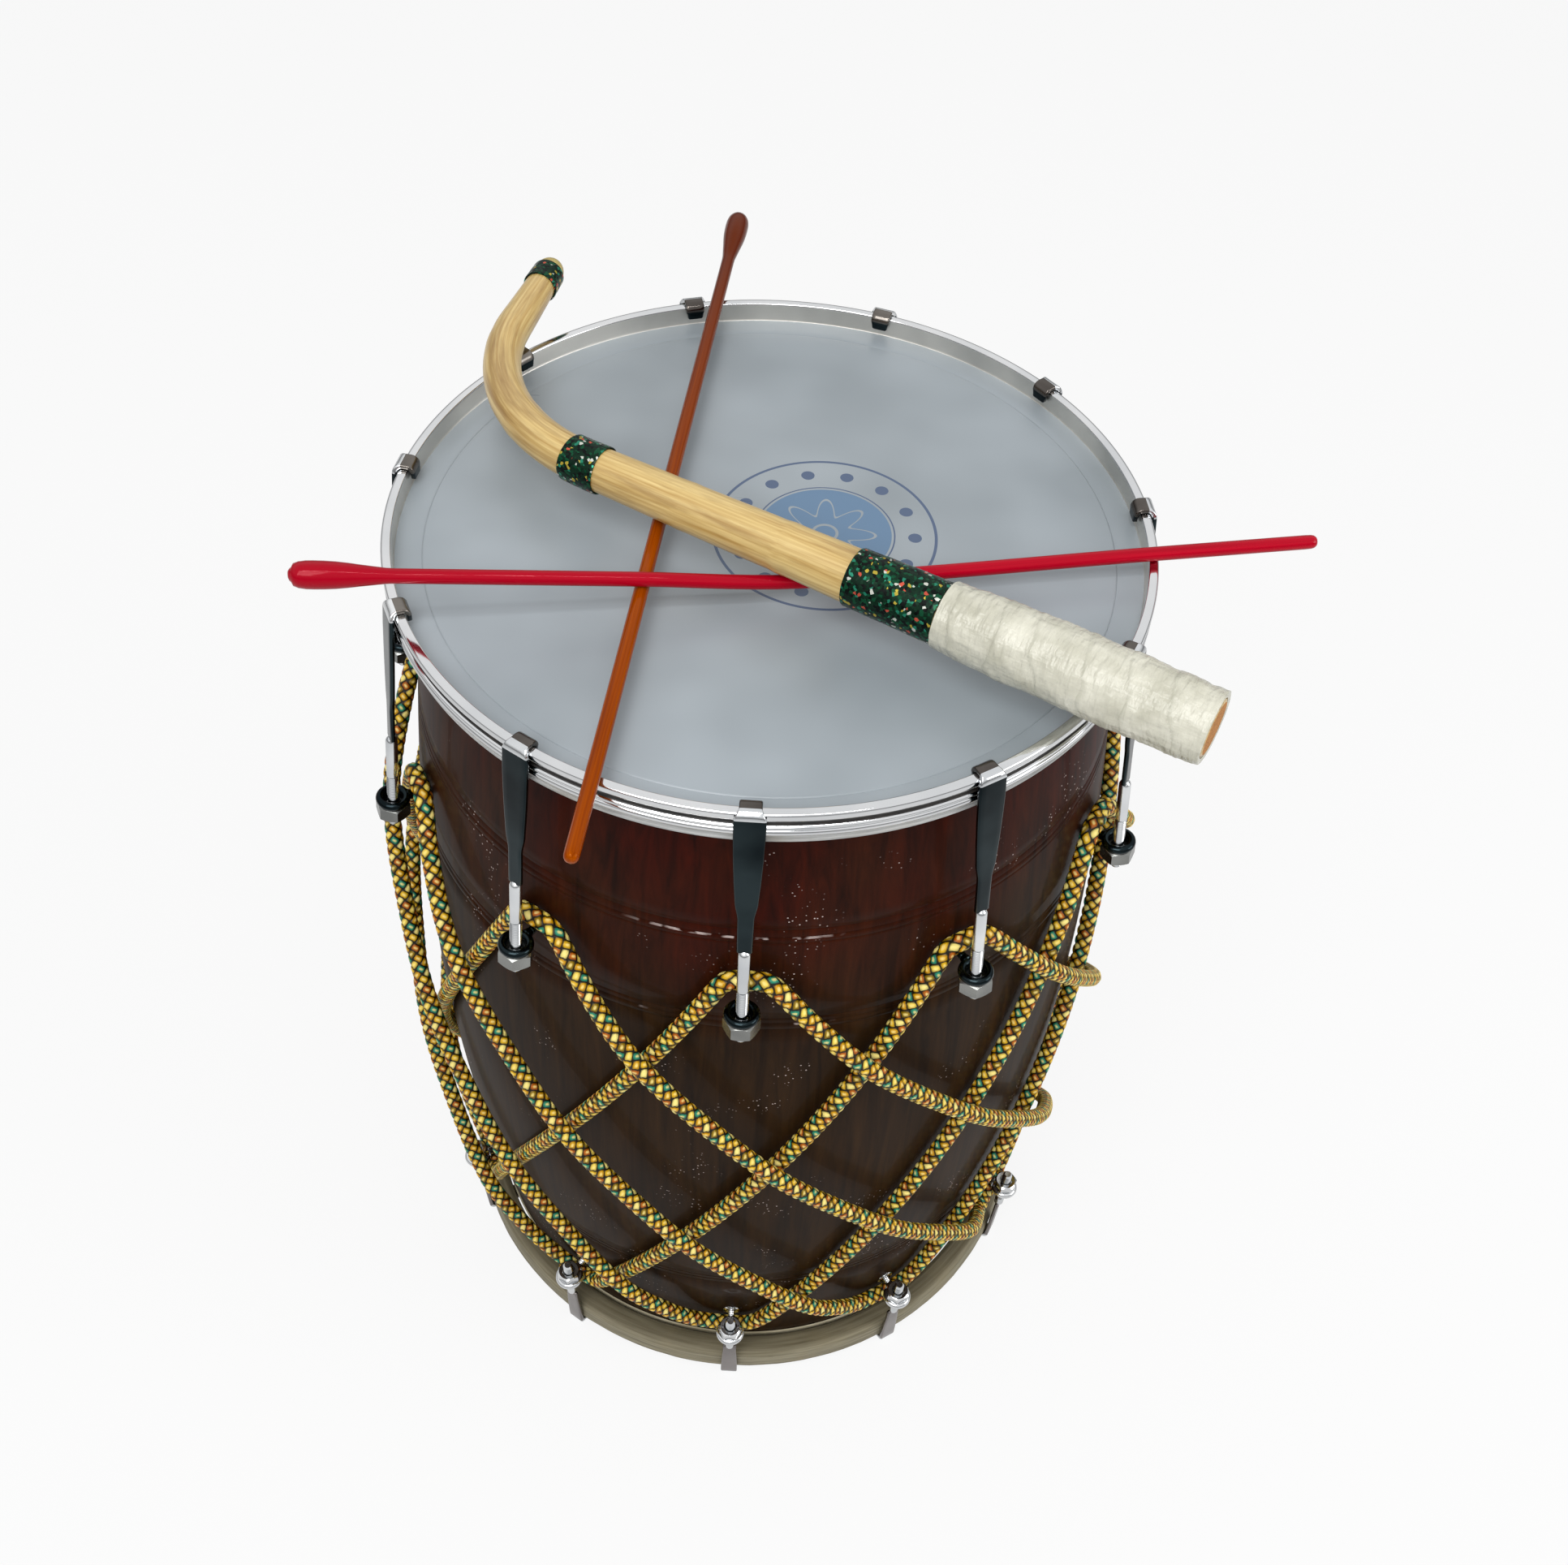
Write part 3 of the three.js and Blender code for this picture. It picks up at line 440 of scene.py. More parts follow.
def glitterFoil():
    # Holographic glitter tape: hard-edged flakes of dark green and black, with a few that catch
    # the light in teal, yellow, white and red. Real flakes are under 1 mm, and these are 1.5 mm
    # so that they show
    material, tree, place = startMaterial("glitter_tape", {
        "Metallic": 0.5, "Roughness": 0.25, "Specular IOR Level": 0.25}, beforeBend)
    flakes = layPattern(tree, place, 1.5, {}, "TexVoronoi").outputs["Color"]
    pick, gloss, tilt = addNode(tree, "SeparateColor", [flakes]).outputs
    tone = addNode(tree, "ValToRGB", [pick],
                   [(0, "#052818"), (0.34, "#020a07"), (0.54, "#08472c"), (0.7, "#042114"), (0.87, "#257d63"),
                    (0.935, "#b3a03c"), (0.96, "#c9ccc2"), (0.985, "#c0523f")])
    tone.color_ramp.interpolation = "CONSTANT"
    sparkle = addNode(tree, "MapRange", [gloss, 0, 1, 0.1, 0.5])
    return endMaterial(material, {"Base Color": tone, "Roughness": sparkle}, (tilt, 0.6, 0.35))


def studioFloor():
    # Seamless white paper: shown near white to the camera and in reflections, still holding shadow
    material, tree, camera = startMaterial("paper_sweep", {"Base Color": colour("#dcdcdc"), "Roughness": 0.9},
                                           ("LightPath", "Is Camera Ray", {}))
    faded = addNode(tree, "Math", [camera.node.outputs["Is Glossy Ray"], 0.25], operation="MULTIPLY")
    shown = addNode(tree, "Math", [camera, 0.86, faded], operation="MULTIPLY_ADD")
    white = addNode(tree, "Emission", {"Strength": 1})
    both = addNode(tree, "MixShader", [shown, tree.nodes["Principled BSDF"], white])
    plug(tree.nodes["Material Output"], {"Surface": both})
    return material


woodLacquer = lacqueredWood()
# painted shade: a near-black finish laid in the counter hoop's rolled groove, lighter in patches
grooveShade = plainFinish("groove_painted_shade", {"Roughness": 0.4, "IOR": 1.5}, (6, {"Detail": 5}),
                           [(0.35, "#0e0c0b"), (0.75, "#2b2622")], (0.3, 0.1))
# the same wood unfinished inside: dry, pale brown, with the turning marks left on it
woodBare = plainFinish("bare_hardwood", {"Roughness": 0.85, "IOR": 1.45}, ((30, 30, 3), {"Detail": 5}),
                       [(0, "#6d4a2c"), (1, "#a9825a")], (0.4, 0.3))
film = drumFilm()
chrome = platedSteel("bright_chrome_plate", ("#cfd1d3", "#dcddde"), 0.06, 0.12)
zinc = platedSteel("bright_zinc_plate", ("#c9cccf", "#e9ebec"), 0.1, 0.24)
# black chrome, which the treble eye bolts also take as painted shade
blackChromeAndShade = platedSteel("black_chrome_and_painted_shade", ("#161d20", "#2c3639"), 0.12, 0.22)
satinNickel = platedSteel("satin_nickel_plate", ("#cccac4", "#e0ded8"), 0.4, 0.52)
brushedNickel = platedSteel("brushed_nickel_plate", ("#747573", "#a3a4a0"), 0.2, 0.36)
dullNickel = platedSteel("dull_nickel_plate", ("#6a6462", "#918b89"), 0.14, 0.3)
# painted reflection: a dark brown-grey metal for the inside of the hook lips
lipReflectionSteel = platedSteel("lip_painted_reflection_steel", ("#4a4542", "#7d7872"), 0.12, 0.25)
paleBand = rawHide("pale_fibre_hoop", "#9b9c9b", "#c3c4c3", (30, 30, 1.2))
hide = rawHide("stretched_goat_hide", "#a59c80", "#cbc3a9", (60, 9, 9))
hideHoop = hoopHide()
cord = braidedCord()
brownRod = mouldedRod("brown_acrylic_rod", "#762b00", "#9c4600", "#5a1c00", "#ffb05c", 0.22)
redRod = mouldedRod("crimson_acrylic_rod", "#9c001a", "#b20220", "#9c001a", "#ffa8b0", 0.3)
cane = rattanCane()
# sawn end of the cane: open orange-brown pores
caneEnd = plainFinish("sawn_cane_end", {"Roughness": 0.8, "IOR": 1.45}, (1.1, {}, "TexVoronoi"),
                      [(0.12, "#5a3414"), (0.4, "#b4793a")], (0.5, 0.3), beforeBend)
tape = gripTape()
glitter = glitterFoil()
print("materials made")


# Shared sizes and modelling helpers

drum = {
    "shellBottom": 1.3, "shellLength": 542, "mouth": 169, "bellyRise": 22.5, "wall": 12,
    "rim": 554.1, "bassRim": -3.5, "hoopRadius": 188, "lugs": 11,
}
lugStep = 2 * math.pi / drum["lugs"]
gap = 0.3  # between pieces that touch


def barrelRadius(z):
    rise, length = drum["bellyRise"], drum["shellLength"]
    arc = ((length / 2) ** 2 + rise ** 2) / (2 * rise)
    return drum["mouth"] + rise - arc + math.sqrt(arc ** 2 - (z - drum["shellBottom"] - length / 2) ** 2)


def takeOnly(*objects):
    bpy.ops.object.select_all(action="DESELECT")
    for obj in objects:
        obj.select_set(True)
    bpy.context.view_layer.objects.active = objects[0]


def startLine(name, points):
    # a plane merged to one vertex and extruded from point to point, left in edit mode
    bpy.ops.object.select_all(action="DESELECT")
    bpy.ops.mesh.primitive_plane_add(size=2 * mm, location=(0, 0, 0))
    obj = bpy.context.object
    obj.name = name
    bpy.ops.object.mode_set(mode="EDIT")
    bpy.ops.mesh.select_all(action="SELECT")
    bpy.ops.mesh.merge(type="CENTER")
    bpy.ops.mesh.select_all(action="SELECT")
    bpy.ops.transform.translate(value=Vector(points[0]) * mm)
    for before, after in zip(points, points[1:]):
        step = [(b - a) * mm for a, b in zip(before, after)]
        bpy.ops.mesh.extrude_region_move(TRANSFORM_OT_translate={"value": step})
    bpy.ops.mesh.select_all(action="SELECT")
    return obj


def closeMesh(obj, weld, smooth=None):
    # ends the edit: doubles merged, normals outwards, edges rounder than the angle shaded smooth
    bpy.ops.mesh.select_all(action="SELECT")
    bpy.ops.mesh.remove_doubles(threshold=weld * mm)
    bpy.ops.mesh.normals_make_consistent(inside=False)
    bpy.ops.object.mode_set(mode="OBJECT")
    if smooth:
        takeOnly(obj)
        bpy.ops.object.shade_smooth_by_angle(angle=math.radians(smooth))


def turnProfile(name, profile, steps, smooth=35):
    # profile: (radius, height) points about +Z, from axis to axis or closed into a ring
    ring = profile[:1] if profile[0][0] else []
    obj = startLine(name, [(r, 0, z) for r, z in profile + ring])
    bpy.ops.mesh.spin(steps=steps, angle=2 * math.pi, center=(0, 0, 0), axis=(0, 0, 1))
    closeMesh(obj, 0.002, smooth)
    return obj


def placeAt(obj, matrix):
    # the place goes into the mesh, and the object stays at the origin
    takeOnly(obj)
    obj.matrix_world = matrix
    bpy.ops.object.transform_apply(location=True, rotation=True, scale=True)


def copyRound(obj, prefix):
    # eleven of them round the drum, the first facing the front
    pieces = [obj]
    obj.name = prefix + "_01"
    for k in range(1, drum["lugs"]):
        takeOnly(obj)
        bpy.ops.object.duplicate(linked=False)
        copy = bpy.context.object
        copy.name = f"{prefix}_{k + 1:02d}"
        copy.rotation_euler.z = k * lugStep
        bpy.ops.object.transform_apply(location=False, rotation=True, scale=False)
        pieces.append(copy)
    return pieces


def joinPieces(pieces, name):
    takeOnly(*pieces)
    bpy.ops.object.join()
    pieces[0].name = name
    return pieces[0]


def addModifier(obj, kind, **settings):
    takeOnly(obj)
    modifier = obj.modifiers.new(kind.title(), kind)
    for name, value in settings.items():
        setattr(modifier, name, value)
    bpy.ops.object.modifier_apply(modifier=modifier.name)


def setFinishes(obj, *finishes):
    for finish in finishes:
        obj.data.materials.append(finish)


def pickFaces(obj, index, rule):
    # the faces whose radius and height pass the rule take another of the finishes
    for face in obj.data.polygons:
        if rule(math.hypot(face.center.x, face.center.y) / mm, face.center.z / mm):
            face.material_index = index


def enter(obj, body, slot, node, *finishes):
    setFinishes(obj, *finishes)
    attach(obj, body)
    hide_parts(node)


def arcPoints(centre, radius, start, end, count):
    # points on an arc in degrees, for the rounded corners of a profile
    angles = [math.radians(start + (end - start) * i / count) for i in range(count + 1)]
    return [(centre[0] + radius * math.cos(angle), centre[1] + radius * math.sin(angle)) for angle in angles]


def reshape(obj, rule):
    # rule(radius, angle, height) gives a vertex its new radius, in millimetres
    for vertex in obj.data.vertices:
        x, y, z = [value / mm for value in vertex.co]
        radius = max(math.hypot(x, y), 1e-6)
        share = rule(radius, math.atan2(y, x), z) / radius
        vertex.co.x *= share
        vertex.co.y *= share
    obj.data.update()


def ripple(angle, z, around, along):
    # soft noise on a round piece: its steps round the piece, and its millimetres along it
    return noise.noise(Vector((math.cos(angle) * around, math.sin(angle) * around, z / along)))


# Shell

shell = {
    "steps": 176, "skinSteps": 30, "edgeRound": 1.5,
    # heights, width and depth of the turned lines
    "lines": (((458.5, 396.5, 113.5), 1.5, 0.55), ((463.5, 454.5, 400.5, 392, 118, 109.5), 0.7, 0.2)),
    "insideHeights": (450, 360, 272.3, 185, 95),
}


def makeShell():
    mouth, wall, edge = drum["mouth"], drum["wall"], shell["edgeRound"]
    bottom, top = drum["shellBottom"], drum["shellBottom"] + drum["shellLength"]
    steps = shell["skinSteps"]
    cuts = {bottom + (top - bottom) * i / steps: 0 for i in range(1, steps)}
    for heights, width, depth in shell["lines"]:
        for z in heights:
            cuts = {height: cut for height, cut in cuts.items() if abs(height - z) >= width}
            cuts.update({z - width / 2: 0, z - width / 6: depth, z + width / 6: depth, z + width / 2: 0})
    profile = [(mouth - wall, bottom)] + arcPoints((mouth - edge, bottom + edge), edge, -90, 0, 4)
    profile += [(barrelRadius(z) - cut, z) for z, cut in sorted(cuts.items())]
    profile += arcPoints((mouth - edge, top - edge), edge, 0, 90, 4) + [(mouth - wall, top)]
    profile += [(barrelRadius(z) - wall, z) for z in shell["insideHeights"]]
    obj = turnProfile("lacquered_shell", profile, shell["steps"], 50)
    enter(obj, "drum", "lacquered_wood", "shell", woodLacquer, woodBare)
    pickFaces(obj, 1, lambda r, z: r < min(mouth - 2, barrelRadius(z) - wall + 3))


makeShell()
print("shell made")


# Tension sides: where the eyes stand and the hooks grip

bassHoop = {"top": 15, "inner": barrelRadius(15) + 1.6, "round": 4, "steps": 264}
sides = {
    "treble": {"up": 1, "rim": drum["rim"], "eyeHeight": 428.6, "eyeReach": 19, "gripInner": 183, "lip": 6,
               "strip": 50, "neck": 21, "half": 7.1, "waist": 5.3, "neckWidth": 7.5, "nut": 9,
               "nutHeight": 8},
    "bass": {"up": -1, "rim": drum["bassRim"], "eyeHeight": 60, "eyeReach": 14.5,
             "gripInner": bassHoop["inner"] + gap, "lip": 2.8, "strip": 24, "neck": 6, "half": 5.2,
             "waist": 4.7, "neckWidth": 8.4, "nut": 7.5, "nutHeight": 6.5},
}
hook = {
    "thickness": 2.5, "taper": 12, "round": 3, "bevel": 0.95, "lipHalf": 4.2,
    "hoopFlat": 7 * math.tan(math.pi / 44),  # the CAD's 44-sided hoops come in by this beside a claw
    "rod": 3, "rodTail": 8, "threadStart": 16, "pitch": 1.25, "threadDepth": 0.45, "sides": 20,
}
eye = {"outer": 8.75, "hole": 4.6, "wire": 4.4, "shank": 2.2, "washer": 5.4, "washerThickness": 1.5,
       "innerNut": 6.5, "innerNutHeight": 5, "tail": 3}
nutSize = {"bore": 3.55, "chamfer": 0.9, "innerChamfer": 0.7, "steps": 48}

for side in sides.values():
    side["eyeRadius"] = barrelRadius(side["eyeHeight"]) + side["eyeReach"]
    outside = drum["hoopRadius"] + gap + hook["thickness"] / 2
    side["lean"] = (side["eyeRadius"] - outside) / abs(side["rim"] + side["up"] * gap - side["eyeHeight"])
    tilt = Matrix.Rotation(-side["up"] * math.atan(side["lean"]), 4, "X")
    side["frame"] = Matrix.Translation(Vector((0, -side["eyeRadius"], side["eyeHeight"])) * mm) @ tilt


def threads(start, end, outer, depth, pitch):
    # ridges of a rolled thread, in (radius, height)
    count = max(1, round((end - start) / pitch))
    step = (end - start) / count
    points = []
    for i in range(count):
        z = start + (end - start) * i / count
        points += [(outer - depth, z), (outer - depth * 0.15, z + step * 0.4), (outer, z + step * 0.5),
                   (outer - depth * 0.15, z + step * 0.6)]
    return points + [(outer - depth, end)]


def hexNut(name, corner, bore, bottom, top, chamfer):
    # a turned collar is planed to a hexagon, so its chamfers curve as on a real nut
    face = corner - chamfer * 1.6
    profile = [(face, bottom), (corner, bottom + chamfer), (corner, top - chamfer), (face, top),
               (bore + 0.5, top)]
    profile += threads(bottom + 0.7, top - 0.7, bore - 0.35, -0.35, 1.3)[::-1]
    obj = turnProfile(name, profile + [(bore + 0.5, bottom)], nutSize["steps"])
    takeOnly(obj)
    bpy.ops.object.mode_set(mode="EDIT")
    for i in range(6):
        angle = math.radians(30 + 60 * i)
        normal = (math.cos(angle), math.sin(angle), 0)
        flat = Vector(normal) * corner * math.cos(math.radians(30)) * mm
        bpy.ops.mesh.select_all(action="SELECT")
        bpy.ops.mesh.bisect(plane_co=flat, plane_no=normal, use_fill=True, clear_outer=True)
    closeMesh(obj, 0.004, 30)
    return obj


def makeEyeBolt(name, finish, slot):
    side = sides[name]
    outer, hole, shank, washer = eye["outer"], eye["hole"], eye["shank"], eye["washer"]
    ringRadius = (outer + hole) / 2
    bpy.ops.object.select_all(action="DESELECT")
    bpy.ops.mesh.primitive_torus_add(major_segments=40, minor_segments=14, major_radius=ringRadius * mm,
                                     minor_radius=(outer - hole) / 2 * mm)
    ring = bpy.context.object
    bpy.ops.object.mode_set(mode="EDIT")
    bpy.ops.mesh.select_all(action="SELECT")
    bpy.ops.transform.resize(value=(1, 1, eye["wire"] / (outer - hole)))
    bpy.ops.object.mode_set(mode="OBJECT")
    bpy.ops.object.shade_smooth()
    reach = side["eyeReach"]
    nutStart = reach + drum["wall"]
    end = nutStart + eye["innerNutHeight"] + eye["tail"]
    profile = [(0, ringRadius - 0.6), (1.9, ringRadius), (shank + 0.5, ringRadius + 0.9),
               (shank + 0.1, outer + 1.2)]
    profile += threads(outer + 1.8, end - 0.8, shank, 0.3, 1.4) + [(shank - 0.8, end), (0, end)]
    bolt = turnProfile("shank", profile, 18)
    low, high = reach + 0.4 - eye["washerThickness"], reach + 0.4
    plate = turnProfile("washer", [(shank, low), (washer - 1.2, low), (washer, reach - 0.5), (washer, high),
                                   (shank, high)], 28)
    nut = hexNut("inner_nut", eye["innerNut"], shank + 0.1, nutStart, nutStart + eye["innerNutHeight"],
                 nutSize["innerChamfer"])
    turnIn = Matrix.Rotation(math.radians(-90), 4, "X")  # the shank's axis turns to +Y, into the drum
    for part in (bolt, plate, nut):
        placeAt(part, turnIn)
    whole = joinPieces([ring, bolt, plate, nut], "eye")
    placeAt(whole, side["frame"])
    for piece in copyRound(whole, name + "_eyebolt"):
        enter(piece, "drum", slot, "shell", finish)


# painted shade: the treble eye bolts take black chrome where the bass ones take bright chrome
makeEyeBolt("treble", blackChromeAndShade, "dark_chrome")
makeEyeBolt("bass", chrome, "chrome")
print("eye bolts made")


def makeHooks(name, skin):
    side = sides[name]
    up, lean, half, waist, neck = side["up"], side["lean"], side["half"], side["waist"], side["neckWidth"] / 2
    thick, bend, narrow = hook["thickness"], hook["round"], hook["lipHalf"]
    outer = drum["hoopRadius"] + gap + thick / 2
    inner = side["gripInner"] - gap - hook["hoopFlat"] - thick / 2
    top = -gap - thick / 2
    stripEnd = side["strip"] + hook["taper"] + side["neck"]
    # (radius, drop from the rim, half width) along the middle of the bent strip
    path = [(inner, side["lip"], narrow - 0.9), (inner, side["lip"] - 0.8, narrow)]
    if side["lip"] > 4:
        path.append((inner, 2.6, narrow + 0.4))
    path += [(*point, narrow + 0.8) for point in arcPoints((inner + bend, top + bend), bend, 180, 270, 5)]
    for i, point in enumerate(arcPoints((outer - bend, top + bend), bend, 270, 360, 5)):
        path.append((*point, narrow + 0.8 + (half - narrow - 0.8) * i / 5))
    leg = [(side["strip"] * share, half + (waist - half) * share ** 2) for share in (0.25, 0.5, 0.75, 1)]
    leg += [(side["strip"] + hook["taper"] * share, waist + (neck - waist) * share ** 2 * (3 - 2 * share))
            for share in (0.12, 0.3, 0.5, 0.7, 0.88, 1)]
    leg += [(stripEnd - 1, neck), (stripEnd, neck - 0.9)]
    path += [(outer + lean * (drop + gap), drop, width) for drop, width in leg]

    strip = startLine("strip", [(-width, -r, side["rim"] - up * drop) for r, drop, width in path])
    # the left edge is carried across in four strips, and each row is then scaled to its width
    for i in range(4):
        bpy.ops.mesh.extrude_region_move(TRANSFORM_OT_translate={"value": (0.5 * half * mm, 0, 0)})
    bpy.ops.object.mode_set(mode="OBJECT")
    for vertex in strip.data.vertices:
        r = -vertex.co.y / mm
        drop = (side["rim"] - vertex.co.z / mm) * up
        width = min(path, key=lambda row: math.hypot(row[0] - r, row[1] - drop))[2]
        column = round((vertex.co.x / mm + width) / (0.5 * half))
        vertex.co.x = width * (column / 2 - 1) * mm
    takeOnly(strip)
    bpy.ops.object.mode_set(mode="EDIT")
    closeMesh(strip, 0.002)
    addModifier(strip, "SOLIDIFY", thickness=thick * mm, offset=0, use_even_offset=True)
    setFinishes(strip, skin, zinc, lipReflectionSteel)
    addModifier(strip, "BEVEL", width=hook["bevel"] * mm, segments=3, limit_method="ANGLE",
                angle_limit=math.radians(50))
    for face in strip.data.polygons:
        # painted highlight: the outer fold takes the bright zinc finish; painted reflection: where the lip
        # lies inside, it takes the dark brown-grey one
        if (face.center.z / mm - side["rim"]) * up > -1:
            face.material_index = 1 if -face.center.y / mm > outer - bend - 0.5 else 2
    takeOnly(strip)
    bpy.ops.object.shade_smooth_by_angle(angle=math.radians(40))

    start = abs(side["eyeHeight"] - (side["rim"] - up * (stripEnd - 2)))
    end = eye["wire"] / 2 + gap + side["nutHeight"] + hook["rodTail"]
    radius, threadTop = hook["rod"], min(hook["threadStart"], start - 9)
    profile = [(0, -end), (radius - 1, -end), (radius - 0.5, -end + 0.6)]
    profile += threads(-end + 1, threadTop, radius, hook["threadDepth"], hook["pitch"])
    profile += [(radius - 0.15, threadTop + 0.8), (radius, threadTop + 2), (radius, start - 3),
                (radius - 0.4, start - 1.8), (radius - 1.6, start - 0.6), (0, start)]
    rod = turnProfile("rod", [(r, z * up) for r, z in profile], hook["sides"])
    placeAt(rod, side["frame"])
    setFinishes(rod, zinc)
    bpy.context.view_layer.update()
    whole = joinPieces([strip, rod], name + "_hook")
    for k, piece in enumerate(copyRound(whole, name + "_tension_hook"), 1):
        node = f"{name}_hook_{k:02d}"
        enter(piece, node, "dark_chrome", node)


makeHooks("treble", blackChromeAndShade)
makeHooks("bass", dullNickel)
print("hooks made")


def makeNuts(name, finish):
    side = sides[name]
    near = eye["wire"] / 2 + gap
    low, high = sorted((-side["up"] * near, -side["up"] * (near + side["nutHeight"])))
    nut = hexNut(name + "_nut", side["nut"], nutSize["bore"], low, high, nutSize["chamfer"])
    placeAt(nut, side["frame"])
    for k, piece in enumerate(copyRound(nut, name + "_hex_nut"), 1):
        node = f"{name}_nut_{k:02d}"
        enter(piece, node, "chrome", node, finish)


makeNuts("treble", brushedNickel)
makeNuts("bass", chrome)
print("nuts made")


# Heads and hoops

heads = {
    "film_head": {"up": 1, "face": 544.1, "thickness": 0.5, "collarEnd": 534.2, "round": 1.4,
                  "arcSteps": (8, 8), "rings": (0, 60, 120, 160), "steps": 220},
    "hide_head": {"up": -1, "face": 0, "thickness": 1, "collarEnd": 14.8, "round": 2.2,
                  "arcSteps": (6, 5), "rings": (0, 45, 90, 130), "steps": 160},
}


def makeHead(name, finish, slot, node):
    head = heads[name]
    up, face, thick, bend, end = head["up"], head["face"], head["thickness"], head["round"], head["collarEnd"]
    centre = (drum["mouth"] + gap + thick - bend, face - up * bend)
    collar = barrelRadius(end) + gap
    profile = [(r, face) for r in head["rings"]]
    profile += arcPoints(centre, bend, up * 90, up * 5, head["arcSteps"][0])
    profile += [(collar + thick, end), (collar, end)]
    profile += arcPoints(centre, bend - thick, up * 5, up * 90, head["arcSteps"][1])
    profile += [(r, face - up * thick) for r in reversed(head["rings"])]
    enter(turnProfile(name, profile, head["steps"], 40), "drum", slot, node, finish)


makeHead("film_head", film, "film", "treble_head_film")

counterHoop = {
    # (how far in from the outside, height under the rim) down the outside of the rolled section
    "outside": [(1.7, 0), (0.9, 0.1), (0.35, 0.5), (0.08, 1.1), (0, 1.8), (0.05, 3.2), (0.35, 4.2),
                (1.1, 4.9), (1.6, 5.3), (1.6, 7.5), (1.1, 7.9), (0.35, 8.1), (0.05, 8.5), (0, 8.9),
                (0.1, 9.3), (0.6, 9.6), (1.2, 9.8), (1.2, 10.7), (0.6, 11), (0.2, 11.7), (0, 12.4),
                (0.1, 13.1), (0.5, 13.7), (1.3, 14)],
    "height": 14, "wallRadius": 183, "wallRound": 0.9, "flange": 2.5, "flangeInner": 173, "steps": 220,
}


def makeCounterHoop():
    outer, rim = drum["hoopRadius"], drum["rim"]
    wall, bend, inner = counterHoop["wallRadius"], counterHoop["wallRound"], counterHoop["flangeInner"]
    bottom = rim - counterHoop["height"]
    flangeTop = bottom + counterHoop["flange"]
    profile = [(outer - cut, rim - drop) for cut, drop in counterHoop["outside"]]
    profile += [(inner + 0.8, bottom), (inner, bottom + 0.8), (inner, flangeTop - 0.7),
                (inner + 0.7, flangeTop)]
    profile += arcPoints((wall - 2, flangeTop + 2), 2, 270, 360, 4)
    profile += arcPoints((wall + bend, rim - bend), bend, 180, 90, 4)
    obj = turnProfile("counter_hoop", profile, counterHoop["steps"], 40)
    enter(obj, "drum", "chrome", "treble_counter_hoop", chrome, grooveShade, satinNickel)
    # painted shade: the rolled groove between the beads takes the near-black finish
    pickFaces(obj, 1, lambda r, z: 4.6 < rim - z < 11 and outer - 1.7 < r < outer - 0.95)
    pickFaces(obj, 2, lambda r, z: 1 < rim - z < 13 and r < wall + 0.5)


makeCounterHoop()

filmRing = {"inner": 169.35, "outer": 182.6, "low": 542.7, "high": 543.6, "round": 0.4, "steps": 220}


def makeFilmRing():
    # the film's own moulded edge, which runs out from its shoulder onto the counter hoop's flange
    inner, outer, low, high, bend, steps = filmRing.values()
    profile = arcPoints((inner + bend, high - bend), bend, 90, 180, 3)
    profile += arcPoints((inner + bend, low + bend), bend, 180, 270, 3)
    profile += [(inner + 5, low), (outer, low), (outer, high - 0.1), (outer - 2, high), (inner + 5, high)]
    enter(turnProfile("film_edge_ring", profile, steps, 50), "drum", "film", "treble_head_film", film)


makeFilmRing()

fleshHoop = {"low": 534, "high": 539.8, "outer": 186, "round": 1.1, "groove": 0.5, "steps": 200}


def makeFleshHoop():
    low, high, outer, bend, groove, steps = fleshHoop.values()
    inner = barrelRadius(low) + gap + heads["film_head"]["thickness"] + gap
    middle = (low + high) / 2
    profile = [(inner, low)] + arcPoints((outer - bend, low + bend), bend, -90, 0, 4)
    profile += [(outer, middle - 1), (outer - groove, middle - 0.6), (outer - groove, middle + 0.6),
                (outer, middle + 1)]
    profile += arcPoints((outer - bend, high - bend), bend, 0, 90, 4) + [(inner, high)]
    obj = turnProfile("pressed_flesh_hoop", profile, steps, 40)
    enter(obj, "drum", "pale_hoop", "treble_flesh_hoop", paleBand)


makeFleshHoop()
print("treble head made")


def makeBassHoop():
    bottom, outer = drum["bassRim"], drum["hoopRadius"]
    top, inner, bend, steps = bassHoop.values()
    profile = arcPoints((outer - bend, bottom + bend), bend, -90, 0, 8)
    profile += [(outer, bottom + bend + (top - bottom - 2 * bend) * share) for share in (0.2, 0.4, 0.6, 0.8)]
    profile += arcPoints((outer - bend, top - bend), bend, 0, 90, 8)
    profile += arcPoints((inner + bend, top - bend), bend, 90, 180, 6)
    profile += arcPoints((inner + bend, bottom + bend), bend, 180, 270, 6)
    obj = turnProfile("lapped_hoop", profile, steps, 60)

    def pucker(reach, angle, z):
        # the hide is wrapped on wet: long low waves, a lapped edge and small pleats, all inwards
        if reach < inner + 4:
            return reach
        lapHeight = 10.5 + 1.6 * math.sin(3 * angle + 0.7) + 0.9 * math.sin(11 * angle)
        lap = 0.35 if z < lapHeight else 0.75
        return reach - max(lap + 0.3 * ripple(angle, z, 5, 9) + 0.22 * ripple(angle, z, 22, 16), 0)

    reshape(obj, pucker)
    enter(obj, "drum", "skin_hoop", "bass_flesh_hoop", hideHoop)


makeBassHoop()
makeHead("hide_head", hide, "skin", "bass_head_skin")
print("bass head made")


# Lacing rope

